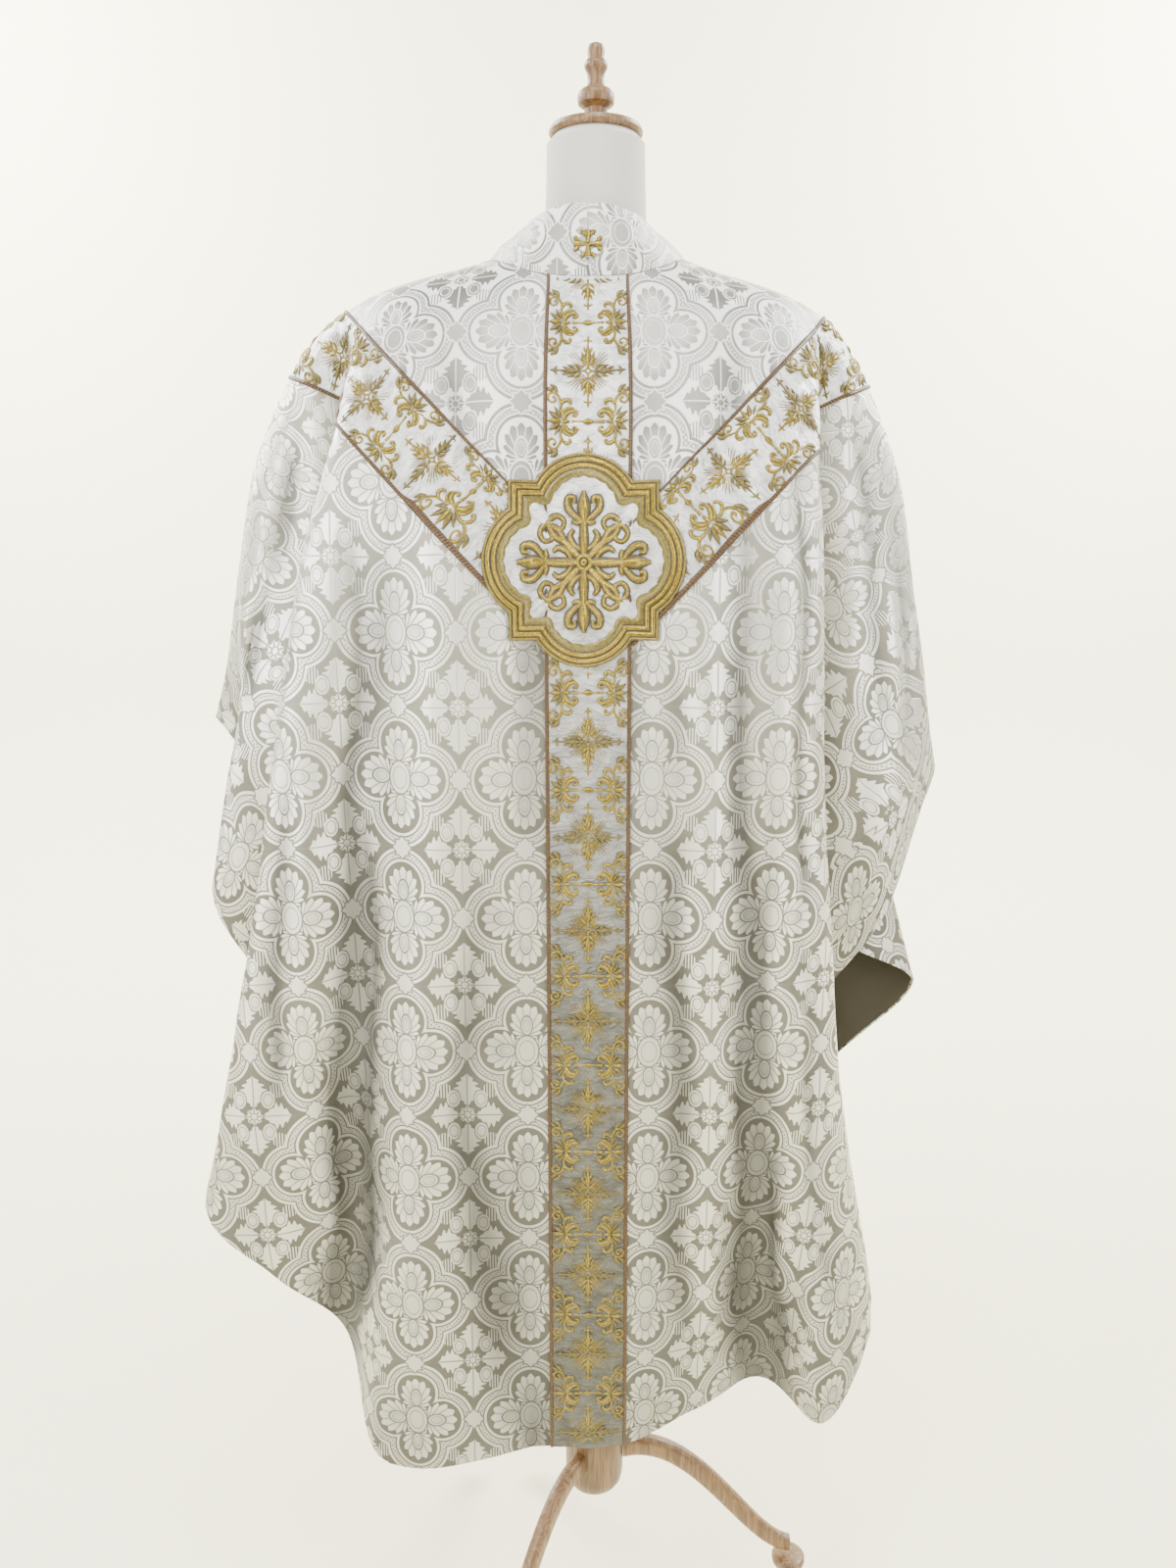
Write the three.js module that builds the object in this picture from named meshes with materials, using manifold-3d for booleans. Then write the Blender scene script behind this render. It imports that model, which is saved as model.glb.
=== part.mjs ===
// Gothic chasuble hanging on a limbless dress form with a wooden tripod stand.
// Millimetres, +Z up. The garment's back, with the medallion, faces -Y and its front faces +Y,
// so +X is the wearer's right. The stand's feet rest on Z = 0.

import * as THREE from 'three';
import { mergeVertices } from 'three/addons/utils/BufferGeometryUtils.js';
import Module from 'manifold-3d';

const wasm = await Module();
wasm.setup();

// ---------------------------------------------------------------- driving dimensions

const PANEL_WALL = 1.5;           // damask with its interlining
const LINING_WALL = 1.0;
const LINING_GAP = 1.4;           // the lining hangs a little free of the damask
const SEAM_GAP = 0.3;             // between pieces that touch
const ORPHREY_WIDTH = 85;         // strip of embroidered satin
const ORPHREY_WALL = 1.0;
const COLLAR_WALL = 1.5;
const COLLAR_SEAM_GAP = 0.9;

const MEDALLION = { x: -4, z: 1279, halfWidth: 98, halfHeight: 102, frame: 20, wall: 1.6, framePad: 2.4 };
const COLLAR_CROSS = { half: 16.5, wall: 1.4, heightOnBand: 0.42 };

// The arms of the Y: height where an arm's upper edge meets the centre strip, its rise for
// each millimetre outwards, and its vertical depth there.
const BACK_ARM = { topOnColumn: 1318, slopeOut: 1.04, drop: 122 };
const FRONT_ARM = { topOnColumn: 1262, slopeOut: 1.27, drop: 137 };

const FORM_SHIFT = 8;             // the garment hangs this far to the left of the form's axis
const NECK_POST = { topZ: 1700, radius: 50 };
const FINIAL_BASE_Z = 1712.3;
const POLE = { radius: 14, topZ: 834.5 };
const HUB = { radius: 36, bottomZ: 118, topZ: 232, floor: 20 };
const LEG = { count: 3, reach: 252, width: 20, depth: 30, rings: 9, sides: 8 };
const FOOT = { radius: 21, height: 12 };

// ---------------------------------------------------------------- folds of the garment
// Each row is one fold line that runs down the cloth. Its x, y, z are read at six stations:
// neck seam, shoulder tip, shoulder blade, waist, hip and cut edge. x is the distance from
// the centre line, counted outwards on both sides.

const BACK_CENTRE = {
  fold: 'centre back', x: [0, 0, 0, 0, 0, 0],
  y: [-85, -118, -148, -152, -150, -150], z: [1550, 1470, 1330, 1010, 650, 304],
};
const FRONT_CENTRE = {
  fold: 'centre front', x: [0, 0, 0, 0, 0, 0],
  y: [90, 140, 162, 165, 163, 160], z: [1524, 1440, 1290, 970, 640, 300],
};

const BACK_RIGHT = [
  { fold: 'strip edge', x: [40, 42.5, 42.5, 42.5, 42.5, 42.5],
    y: [-78, -117, -148, -153, -151, -150], z: [1553, 1472, 1330, 1010, 650, 305] },
  { fold: 'flat', x: [52, 110, 115, 120, 122, 122],
    y: [-72, -111, -150, -156, -150, -128], z: [1556, 1480, 1330, 1010, 650, 326] },
  { fold: 'soft valley', x: [62, 148, 162, 176, 188, 200],
    y: [-65, -102, -145, -150, -132, -86], z: [1560, 1492, 1330, 1010, 650, 332] },
  { fold: 'soft crest', x: [71, 176, 196, 212, 234, 264],
    y: [-57, -90, -137, -149, -147, -142], z: [1564, 1501, 1332, 1010, 655, 321] },
  { fold: 'back edge crest', x: [79, 198, 221, 238, 268, 312],
    y: [-48, -74, -116, -128, -124, -106], z: [1568, 1509, 1345, 1020, 690, 372] },
  { fold: 'deep valley', x: [90, 226, 214, 218, 234, 254],
    y: [-32, -42, -34, -38, -42, -42], z: [1575, 1516, 1345, 1070, 900, 776] },
  { fold: 'sleeve back', x: [95, 238, 276, 306, 320, 324],
    y: [-22, -26, -44, -50, -52, -52], z: [1578, 1519, 1345, 1150, 1000, 886] },
  { fold: 'sleeve side', x: [98, 243, 304, 342, 362, 368],
    y: [-15, -13, -24, -27, -26, -24], z: [1580, 1520, 1380, 1205, 1085, 1003] },
];
const RIDGE_RIGHT = {
  fold: 'shoulder ridge', x: [100, 245, 318, 355, 378, 392],
  y: [-8, 0, 0, 0, 0, 0], z: [1581, 1519, 1402, 1245, 1130, 1052],
};
const FRONT_RIGHT = [
  { fold: 'sleeve side', x: [98, 243, 306, 343, 362, 371],
    y: [-1, 13, 24, 27, 25, 19], z: [1580, 1518, 1382, 1210, 1092, 1018] },
  { fold: 'sleeve front', x: [95, 238, 284, 318, 336, 347],
    y: [6, 26, 44, 48, 46, 38], z: [1578, 1516, 1350, 1160, 1035, 950] },
  { fold: 'deep valley', x: [89, 226, 232, 260, 284, 302],
    y: [18, 44, 62, 66, 60, 48], z: [1573, 1512, 1340, 1110, 955, 838] },
  { fold: 'front edge crest', x: [76, 198, 262, 318, 362, 400],
    y: [40, 80, 120, 120, 102, 80], z: [1562, 1500, 1340, 1110, 920, 765] },
  { fold: 'soft valley', x: [64, 150, 196, 240, 278, 306],
    y: [56, 104, 140, 144, 128, 104], z: [1553, 1484, 1318, 1045, 830, 644] },
  { fold: 'soft crest', x: [54, 104, 138, 170, 202, 236],
    y: [66, 124, 155, 166, 164, 156], z: [1544, 1464, 1302, 1000, 720, 446] },
  { fold: 'inner valley', x: [46, 72, 88, 104, 122, 140],
    y: [73, 133, 160, 164, 156, 138], z: [1537, 1451, 1295, 980, 670, 344] },
  { fold: 'strip edge', x: [38, 42.5, 42.5, 42.5, 42.5, 42.5],
    y: [78, 139, 162, 166, 164, 160], z: [1533, 1442, 1291, 971, 641, 306] },
];

const BACK_LEFT = [
  { fold: 'strip edge', x: [40, 42.5, 42.5, 42.5, 42.5, 42.5],
    y: [-78, -117, -148, -153, -151, -151], z: [1553, 1472, 1330, 1010, 650, 303] },
  { fold: 'soft crest', x: [52, 112, 134, 158, 190, 236],
    y: [-72, -111, -149, -154, -152, -148], z: [1556, 1482, 1332, 1010, 640, 287] },
  { fold: 'long valley', x: [62, 150, 184, 224, 254, 279],
    y: [-65, -102, -142, -138, -116, -84], z: [1560, 1495, 1338, 1030, 690, 398] },
  { fold: 'wing', x: [71, 178, 220, 268, 312, 350],
    y: [-57, -88, -134, -141, -137, -124], z: [1565, 1508, 1350, 1060, 760, 494] },
  { fold: 'back edge crest', x: [80, 203, 256, 308, 360, 418],
    y: [-48, -72, -112, -126, -126, -116], z: [1569, 1517, 1370, 1120, 850, 556] },
  { fold: 'deep valley', x: [91, 234, 238, 268, 304, 346],
    y: [-32, -42, -42, -46, -48, -44], z: [1575, 1524, 1356, 1130, 940, 764] },
  { fold: 'sleeve back', x: [96, 246, 316, 364, 386, 414],
    y: [-22, -26, -48, -58, -58, -54], z: [1578, 1528, 1392, 1210, 1062, 922] },
  { fold: 'sleeve side', x: [99, 251, 334, 374, 382, 380],
    y: [-15, -13, -24, -27, -20, -12], z: [1580, 1530, 1405, 1250, 1135, 1052] },
];
const RIDGE_LEFT = {
  fold: 'shoulder ridge', x: [101, 253, 342, 380, 402, 424],
  y: [-8, 0, 1, 3, 10, 18], z: [1581, 1530, 1412, 1275, 1180, 1106],
};
const FRONT_LEFT = [
  { fold: 'sleeve side', x: [99, 251, 332, 370, 392, 404],
    y: [-1, 13, 26, 32, 38, 40], z: [1580, 1529, 1398, 1252, 1150, 1070] },
  { fold: 'sleeve front', x: [96, 246, 306, 340, 358, 370],
    y: [6, 26, 46, 54, 58, 56], z: [1578, 1526, 1368, 1205, 1085, 985] },
  { fold: 'deep valley', x: [90, 232, 242, 270, 292, 310],
    y: [18, 44, 64, 72, 72, 64], z: [1573, 1520, 1346, 1120, 975, 868] },
  { fold: 'front edge crest', x: [77, 202, 264, 316, 356, 392],
    y: [40, 80, 120, 126, 112, 92], z: [1562, 1504, 1345, 1115, 925, 772] },
  { fold: 'soft valley', x: [64, 151, 198, 242, 276, 300],
    y: [56, 104, 140, 146, 132, 108], z: [1553, 1486, 1320, 1048, 824, 628] },
  { fold: 'soft crest', x: [54, 104, 138, 168, 196, 226],
    y: [66, 124, 155, 166, 165, 158], z: [1544, 1465, 1302, 1000, 720, 440] },
  { fold: 'inner valley', x: [46, 72, 88, 102, 118, 134],
    y: [73, 133, 160, 164, 157, 142], z: [1537, 1451, 1295, 980, 670, 340] },
  { fold: 'strip edge', x: [38, 42.5, 42.5, 42.5, 42.5, 42.5],
    y: [78, 139, 162, 166, 164, 160], z: [1533, 1442, 1291, 971, 641, 306] },
];

const STATIONS = BACK_CENTRE.z.length;
const ROWS_PER_STATION = [2, 2, 3, 3, 3];   // rows of cells between two stations
const CELLS_PER_SPAN = 2;                   // columns of cells between two fold lines

// ---------------------------------------------------------------- smooth curves

// Slope at the middle of three points, weighted so that uneven spacing makes no overshoot.
function slope(before, here, after) {
  const back = here.distanceTo(before);
  const ahead = after.distanceTo(here);
  const arriving = here.clone().sub(before).multiplyScalar(ahead / (back * (back + ahead)));
  const leaving = after.clone().sub(here).multiplyScalar(back / (ahead * (back + ahead)));
  return arriving.add(leaving);
}

// Cubic through points[i] and points[i + 1]; t runs from 0 to 1 between them.
function smoothPoint(points, i, t) {
  const a = points[i];
  const b = points[i + 1];
  const before = i > 0 ? points[i - 1] : a.clone().multiplyScalar(2).sub(b);
  const after = i + 2 < points.length ? points[i + 2] : b.clone().multiplyScalar(2).sub(a);
  const length = a.distanceTo(b);
  const startSlope = slope(before, a, b).multiplyScalar(length);
  const endSlope = slope(a, b, after).multiplyScalar(length);
  const t2 = t * t;
  const t3 = t2 * t;
  return a.clone().multiplyScalar(2 * t3 - 3 * t2 + 1)
    .add(startSlope.multiplyScalar(t3 - 2 * t2 + t))
    .add(b.clone().multiplyScalar(3 * t2 - 2 * t3))
    .add(endSlope.multiplyScalar(t3 - t2));
}

function foldAt(fold, station, side) {
  const points = fold.x.map((x, k) => new THREE.Vector3(side * x, fold.y[k], fold.z[k]));
  const i = Math.min(Math.floor(station), STATIONS - 2);
  return smoothPoint(points, i, station - i);
}

// All the fold lines round the body, from the left ridge over the back to the right ridge
// and over the front to the left ridge again.
const LEFT = -1;
const RIGHT = 1;
const ROUND = [
  ...[RIDGE_LEFT, ...BACK_LEFT.toReversed()].map((fold) => ({ fold, side: LEFT })),
  { fold: BACK_CENTRE, side: RIGHT },
  ...[...BACK_RIGHT, RIDGE_RIGHT, ...FRONT_RIGHT].map((fold) => ({ fold, side: RIGHT })),
  { fold: FRONT_CENTRE, side: RIGHT },
  ...FRONT_LEFT.toReversed().map((fold) => ({ fold, side: LEFT })),
];
const SPANS = ROUND.length;
const CENTRE_SPAN = BACK_LEFT.length + 1;                    // span index of the centre back
const RIGHT_RIDGE_SPAN = CENTRE_SPAN + BACK_RIGHT.length + 1;
const FRONT_CENTRE_SPAN = RIGHT_RIDGE_SPAN + FRONT_RIGHT.length + 1;

// Point of the cloth's middle surface. around counts fold lines, station runs from 0 to 5.
function clothPoint(around, station) {
  const i = Math.floor(around);
  const near = [-1, 0, 1, 2].map((k) => {
    const { fold, side } = ROUND[(i + k + SPANS) % SPANS];
    return foldAt(fold, station, side);
  });
  return smoothPoint(near, 1, around - i);
}

// Unit normal pointing out of the garment, from the surface's two slopes.
function clothNormal(around, station) {
  const step = 0.02;
  const low = Math.max(station - step, 0);
  const high = Math.min(station + step, STATIONS - 1);
  const down = clothPoint(around, high).sub(clothPoint(around, low));
  const across = clothPoint((around + step) % SPANS, station)
    .sub(clothPoint((around - step + SPANS) % SPANS, station));
  return down.cross(across).normalize();
}

function clothOffset(around, station, height) {
  return clothPoint(around, station).add(clothNormal(around, station).multiplyScalar(height));
}

// ---------------------------------------------------------------- closed solids from grids

function solid(vertices, triangles) {
  const geometry = new THREE.BufferGeometry();
  const flat = vertices.flatMap((p) => [p.x, p.y, p.z]);
  geometry.setAttribute('position', new THREE.Float32BufferAttribute(flat, 3));
  geometry.setIndex(triangles.flat());
  geometry.computeVertexNormals();
  return geometry;
}

// Wall between two grids of points with the same rows and columns. Rows run down the cloth
// and columns run so that down x across points from the inner grid to the outer one.
function wall(outer, inner) {
  const rows = outer.length;
  const columns = outer[0].length;
  const vertices = [...outer.flat(), ...inner.flat()];
  const out = (r, c) => r * columns + c;
  const inn = (r, c) => rows * columns + r * columns + c;
  const triangles = [];
  const quad = (a, b, c, d) => triangles.push([a, b, c], [a, c, d]);
  for (let r = 0; r < rows - 1; r++) {
    for (let c = 0; c < columns - 1; c++) {
      quad(out(r, c), out(r + 1, c), out(r + 1, c + 1), out(r, c + 1));
      quad(inn(r, c), inn(r, c + 1), inn(r + 1, c + 1), inn(r + 1, c));
    }
  }
  for (let r = 0; r < rows - 1; r++) {
    quad(out(r, 0), inn(r, 0), inn(r + 1, 0), out(r + 1, 0));
    quad(out(r, columns - 1), out(r + 1, columns - 1), inn(r + 1, columns - 1), inn(r, columns - 1));
  }
  for (let c = 0; c < columns - 1; c++) {
    quad(out(0, c), out(0, c + 1), inn(0, c + 1), inn(0, c));
    quad(out(rows - 1, c), inn(rows - 1, c), inn(rows - 1, c + 1), out(rows - 1, c + 1));
  }
  return solid(vertices, triangles);
}

// Stacked closed rings, from the lowest to the highest, capped at both ends. Each ring runs
// anticlockwise seen from above.
function loft(rings) {
  const sides = rings[0].length;
  const vertices = rings.flat();
  const centre = (ring) => ring.reduce((sum, p) => sum.add(p), new THREE.Vector3()).divideScalar(sides);
  const bottom = vertices.push(centre(rings[0])) - 1;
  const top = vertices.push(centre(rings.at(-1))) - 1;
  const triangles = [];
  for (let k = 0; k < rings.length - 1; k++) {
    for (let i = 0; i < sides; i++) {
      const j = (i + 1) % sides;
      const low = k * sides;
      const high = low + sides;
      triangles.push([low + i, low + j, high + j], [low + i, high + j, high + i]);
    }
  }
  const last = (rings.length - 1) * sides;
  for (let i = 0; i < sides; i++) {
    const j = (i + 1) % sides;
    triangles.push([bottom, j, i], [top, last + i, last + j]);
  }
  return solid(vertices, triangles);
}

function toManifold(geometry) {
  const bare = geometry.clone();
  bare.deleteAttribute('normal');
  bare.deleteAttribute('uv');
  const merged = mergeVertices(bare, 1e-4);
  return new wasm.Manifold(new wasm.Mesh({
    numProp: 3,
    vertProperties: new Float32Array(merged.getAttribute('position').array),
    triVerts: new Uint32Array(merged.index.array),
  }));
}

function fromManifold(manifold) {
  const { vertProperties, triVerts } = manifold.getMesh();
  const geometry = new THREE.BufferGeometry();
  geometry.setAttribute('position', new THREE.BufferAttribute(Float32Array.from(vertProperties), 3));
  geometry.setIndex(Array.from(triVerts));
  geometry.computeVertexNormals();
  return geometry;
}

// ---------------------------------------------------------------- cloth panels

function stationRows() {
  const rows = [0];
  ROWS_PER_STATION.forEach((count, k) => {
    for (let i = 1; i <= count; i++) rows.push(k + i / count);
  });
  return rows;
}

function columnsBetween(first, last) {
  const count = (last - first) * CELLS_PER_SPAN;
  return Array.from({ length: count + 1 }, (_, i) => first + i / CELLS_PER_SPAN);
}

// The panel's first and last columns stop short of the seam by half the gap.
function trimmedOffset(columns, c, station, height, trim) {
  const point = clothOffset(columns[c] % SPANS, station, height);
  const isEdge = c === 0 || c === columns.length - 1;
  if (!isEdge || trim === 0) return point;
  const inside = c === 0 ? columns[1] : columns.at(-2);
  const inwards = clothPoint(inside % SPANS, station).sub(clothPoint(columns[c] % SPANS, station));
  const across = clothNormal(columns[c] % SPANS, station);
  inwards.addScaledVector(across, -inwards.dot(across));
  return point.addScaledVector(inwards.normalize(), trim);
}

// shortenBy is the share of the last row of cells that is left off, level with its facets.
function clothWall(first, last, outerHeight, innerHeight, options) {
  const { trim = 0, shortenBy = 0, rows = stationRows() } = options;
  const columns = columnsBetween(first, last);
  const grid = (height) => {
    const points = rows.map((station) => (
      columns.map((_, c) => trimmedOffset(columns, c, station, height, trim))
    ));
    points.at(-1).forEach((point, c) => point.lerp(points.at(-2)[c], shortenBy));
    return points;
  };
  return wall(grid(outerHeight), grid(innerHeight));
}

const ARM_SKIN_STATION = 3;         // the arms end above this station
const PANEL_OUT = PANEL_WALL / 2;
const LINING_OUT = -PANEL_WALL / 2 - LINING_GAP;
const ORPHREY_IN = PANEL_OUT + SEAM_GAP;
const ORPHREY_OUT = ORPHREY_IN + ORPHREY_WALL;

const PANEL_SPANS = {
  back: [0, RIGHT_RIDGE_SPAN],
  front: [RIGHT_RIDGE_SPAN, SPANS],
};

function panel(name) {
  const [first, last] = PANEL_SPANS[name];
  return clothWall(first, last, PANEL_OUT, -PANEL_OUT, { trim: SEAM_GAP });
}

// The lining stops a little above the panel's cut edge.
function lining(name) {
  const [first, last] = PANEL_SPANS[name];
  const options = { trim: SEAM_GAP, shortenBy: 0.06 };
  return clothWall(first, last, LINING_OUT, LINING_OUT - LINING_WALL, options);
}

// Strip down the garment's centre, from one strip edge over the centre line to the other.
function centreStrip(centreSpan) {
  const topStation = 0.01;           // just under the neck seam
  const rows = [topStation, ...stationRows().filter((station) => station > topStation)];
  return clothWall(centreSpan - 1, centreSpan + 1, ORPHREY_OUT, ORPHREY_IN, { rows });
}

// ---------------------------------------------------------------- pieces placed by x and z

// Finds where the cloth passes through a given x and z, by Newton's method from a first guess.
function locate(x, z, guess) {
  let [around, station] = guess;
  const step = 0.01;
  for (let i = 0; i < 12; i++) {
    const here = clothPoint(around, station);
    const across = clothPoint(around + step, station).sub(here).divideScalar(step);
    const down = clothPoint(around, station + step).sub(here).divideScalar(step);
    const dx = x - here.x;
    const dz = z - here.z;
    const det = across.x * down.z - across.z * down.x;
    around += (dx * down.z - dz * down.x) / det;
    station += (across.x * dz - across.z * dx) / det;
  }
  return [around, station];
}

// One arm of the Y: the part of a skin over the panel that lies inside the arm's outline, as
// seen square to the garment. The outline's lower edge steps up where the edge crest hides
// the stretch behind it, and runs on over the sleeve to the shoulder ridge.
function arm({ side, skinSpans, topOnColumn, slopeOut, drop, crestX, ridgeFoot }) {
  const start = ORPHREY_WIDTH / 2 + SEAM_GAP;
  const outside = 400;
  const edgeZ = (x, top) => top + slopeOut * (x - start);
  const outline = [
    [start, topOnColumn - drop],
    [crestX, edgeZ(crestX, topOnColumn - drop)],
    [crestX, ridgeFoot.z - ridgeFoot.rise],
    [ridgeFoot.x, ridgeFoot.z],
    [outside, ridgeFoot.z + ridgeFoot.rise],
    [outside, edgeZ(outside, topOnColumn)],
    [start, topOnColumn],
  ];
  const shape = new THREE.Shape(outline.map(([x, z]) => new THREE.Vector2(side * x, z)));
  const cutter = new THREE.ExtrudeGeometry(shape, { depth: outside, bevelEnabled: false });
  cutter.translate(0, 0, -outside / 2).rotateX(Math.PI / 2);
  const [first, last] = skinSpans;
  const rows = stationRows().filter((station) => station <= ARM_SKIN_STATION);
  const skin = clothWall(first, last, ORPHREY_OUT, ORPHREY_IN, { rows, trim: SEAM_GAP });
  const pieces = toManifold(skin).intersect(toManifold(cutter)).decompose();
  return fromManifold(pieces.reduce((best, piece) => (piece.volume() > best.volume() ? piece : best)));
}

const ARMS = {
  orphrey_arm_back_right: { ...BACK_ARM, side: RIGHT, skinSpans: [CENTRE_SPAN, RIGHT_RIDGE_SPAN],
    crestX: 231, ridgeFoot: { x: 293, z: 1454, rise: 26 } },
  orphrey_arm_back_left: { ...BACK_ARM, side: LEFT, skinSpans: [0, CENTRE_SPAN],
    crestX: 247, ridgeFoot: { x: 308, z: 1462, rise: 26 } },
  orphrey_arm_front_right: { ...FRONT_ARM, side: RIGHT, skinSpans: [RIGHT_RIDGE_SPAN, FRONT_CENTRE_SPAN],
    crestX: 245, ridgeFoot: { x: 293, z: 1454, rise: 26 } },
  orphrey_arm_front_left: { ...FRONT_ARM, side: LEFT, skinSpans: [FRONT_CENTRE_SPAN, SPANS],
    crestX: 245, ridgeFoot: { x: 308, z: 1462, rise: 26 } },
};

// ---------------------------------------------------------------- medallion and small cross

// Barbed quatrefoil: four round lobes and, between them, the corners of a square.
// Returns its outline's distance from the centre in the direction of angle, for half size 1.
function quatrefoilRadius(angle) {
  const LOBE_CENTRE = 0.44;
  const LOBE_RADIUS = 0.56;
  const SQUARE = 0.74;
  const quarter = Math.PI / 2;
  const fromLobe = ((angle % quarter) + quarter + quarter / 2) % quarter - quarter / 2;
  const chord = LOBE_CENTRE * Math.sin(fromLobe);
  const lobe = LOBE_CENTRE * Math.cos(fromLobe) + Math.sqrt(LOBE_RADIUS ** 2 - chord ** 2);
  const square = SQUARE / Math.max(Math.abs(Math.cos(angle)), Math.abs(Math.sin(angle)));
  return Math.max(lobe, square);
}

// Cross with four arms that widen outwards and have rounded ends.
function crossRadius(angle) {
  const ARM_HALF_ANGLE = 0.46;
  const WAIST = 0.3;
  const quarter = Math.PI / 2;
  const fromArm = Math.abs(((angle % quarter) + quarter + quarter / 2) % quarter - quarter / 2);
  return fromArm < ARM_HALF_ANGLE ? 1 - 0.25 * (fromArm / ARM_HALF_ANGLE) ** 2 : WAIST;
}

// Plate with rings of points at given shares of its outline; surface(x, z) gives a point and
// a normal, and each ring has its own height above it.
function applique({ angles, rings, radius, surface, base }) {
  const layer = (heightOf) => rings.map((ring) => angles.map((angle) => {
    const reach = ring.share * radius(angle);
    const { point, normal } = surface(reach * Math.cos(angle), reach * Math.sin(angle));
    return point.addScaledVector(normal, heightOf(ring));
  }));
  const outer = layer((ring) => ring.height);
  const inner = layer(() => base);
  const count = angles.length;
  const vertices = [...outer.flat(), ...inner.flat()];
  const middle = surface(0, 0);
  const top = vertices.push(middle.point.clone().addScaledVector(middle.normal, rings[0].height)) - 1;
  const under = vertices.push(middle.point.clone().addScaledVector(middle.normal, base)) - 1;
  const triangles = [];
  const innerStart = rings.length * count;
  for (let i = 0; i < count; i++) {
    const j = (i + 1) % count;
    triangles.push([top, i, j], [under, innerStart + j, innerStart + i]);
    for (let k = 0; k < rings.length - 1; k++) {
      const a = k * count;
      const b = a + count;
      triangles.push([a + i, b + i, b + j], [a + i, b + j, a + j]);
      triangles.push([innerStart + a + i, innerStart + b + j, innerStart + b + i]);
      triangles.push([innerStart + a + i, innerStart + a + j, innerStart + b + j]);
    }
    const rim = (rings.length - 1) * count;
    triangles.push([rim + i, innerStart + rim + i, innerStart + rim + j]);
    triangles.push([rim + i, innerStart + rim + j, rim + j]);
  }
  return solid(vertices, triangles);
}

function evenAngles(count, start = 0) {
  return Array.from({ length: count }, (_, i) => start + (i * 2 * Math.PI) / count);
}

function medallion() {
  const base = ORPHREY_OUT + SEAM_GAP;
  const low = base + MEDALLION.wall;
  const high = low + MEDALLION.framePad;
  const inside = 1 - MEDALLION.frame / MEDALLION.halfWidth;
  const surface = (dx, dz) => {
    const x = MEDALLION.x + dx * MEDALLION.halfWidth;
    const z = MEDALLION.z + dz * MEDALLION.halfHeight;
    const [around, station] = locate(x, z, [CENTRE_SPAN + x / ORPHREY_WIDTH, 2]);
    return { point: clothPoint(around, station), normal: clothNormal(around, station) };
  };
  return applique({
    angles: evenAngles(40), radius: quatrefoilRadius, surface, base,
    rings: [
      { share: 0.42, height: low },
      { share: inside - 0.03, height: low },
      { share: inside + 0.03, height: high },
      { share: 0.97, height: high },
      { share: 1, height: low },
    ],
  });
}

// ---------------------------------------------------------------- collar

// The band leans inwards from the neck seam to its top edge: angle 0 is the wearer's right.
const COLLAR_TOP = { halfWidth: 64, backY: -67, frontY: 63, backZ: 1621, sideZ: 1611, frontZ: 1566 };
const COLLAR_ROWS = [0, 0.35, 0.7, 1];

function collarTop(around) {
  const seam = clothPoint(around, 0);
  const angle = Math.atan2(seam.y, seam.x);
  const isBack = seam.y < 0;
  const depth = isBack ? -COLLAR_TOP.backY : COLLAR_TOP.frontY;
  const endZ = isBack ? COLLAR_TOP.backZ : COLLAR_TOP.frontZ;
  const turn = Math.sin(angle) ** 2;
  return new THREE.Vector3(
    COLLAR_TOP.halfWidth * Math.cos(angle), depth * Math.sin(angle),
    COLLAR_TOP.sideZ + (endZ - COLLAR_TOP.sideZ) * turn,
  );
}

function collarPoint(around, share) {
  const seam = clothPoint(around, 0);
  const top = collarTop(around);
  const run = top.clone().sub(seam);
  const gap = COLLAR_SEAM_GAP / run.length();
  const bulge = 4 * Math.sin(Math.PI * share);
  const outwards = new THREE.Vector3(seam.x, seam.y, 0).normalize();
  return seam.addScaledVector(run, gap + (1 - gap) * share).addScaledVector(outwards, bulge);
}

function collarNormal(around, share) {
  const step = 0.02;
  const up = collarPoint(around, Math.min(share + step, 1))
    .sub(collarPoint(around, Math.max(share - step, 0)));
  const across = collarPoint((around + step) % SPANS, share)
    .sub(collarPoint((around - step + SPANS) % SPANS, share));
  return across.cross(up).normalize();
}

function collarHalf(first, last) {
  const columns = columnsBetween(first, last);
  const grid = (height) => COLLAR_ROWS.toReversed().map((share) => columns.map((column, c) => {
    const around = column % SPANS;
    const point = collarPoint(around, share).addScaledVector(collarNormal(around, share), height);
    const isEdge = c === 0 || c === columns.length - 1;
    if (isEdge) point.x += Math.sign(clothPoint(columns[1] % SPANS, 0).x) * SEAM_GAP;
    return point;
  }));
  return wall(grid(COLLAR_WALL / 2), grid(-COLLAR_WALL / 2));
}

function collarCross() {
  const base = COLLAR_WALL / 2 + SEAM_GAP;
  const bandHeight = collarPoint(CENTRE_SPAN, 1).distanceTo(collarPoint(CENTRE_SPAN, 0));
  const spanWidth = collarPoint(CENTRE_SPAN + 1, 0.5).distanceTo(collarPoint(CENTRE_SPAN, 0.5));
  const surface = (dx, dz) => {
    const around = CENTRE_SPAN + (dx * COLLAR_CROSS.half) / spanWidth;
    const share = COLLAR_CROSS.heightOnBand + (dz * COLLAR_CROSS.half) / bandHeight;
    return { point: collarPoint(around, share), normal: collarNormal(around, share) };
  };
  return applique({
    angles: evenAngles(32, Math.PI / 32), radius: crossRadius, surface, base,
    rings: [
      { share: 0.5, height: base + COLLAR_CROSS.wall },
      { share: 1, height: base + COLLAR_CROSS.wall * 0.7 },
    ],
  });
}

// ---------------------------------------------------------------- dress form and stand

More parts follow.
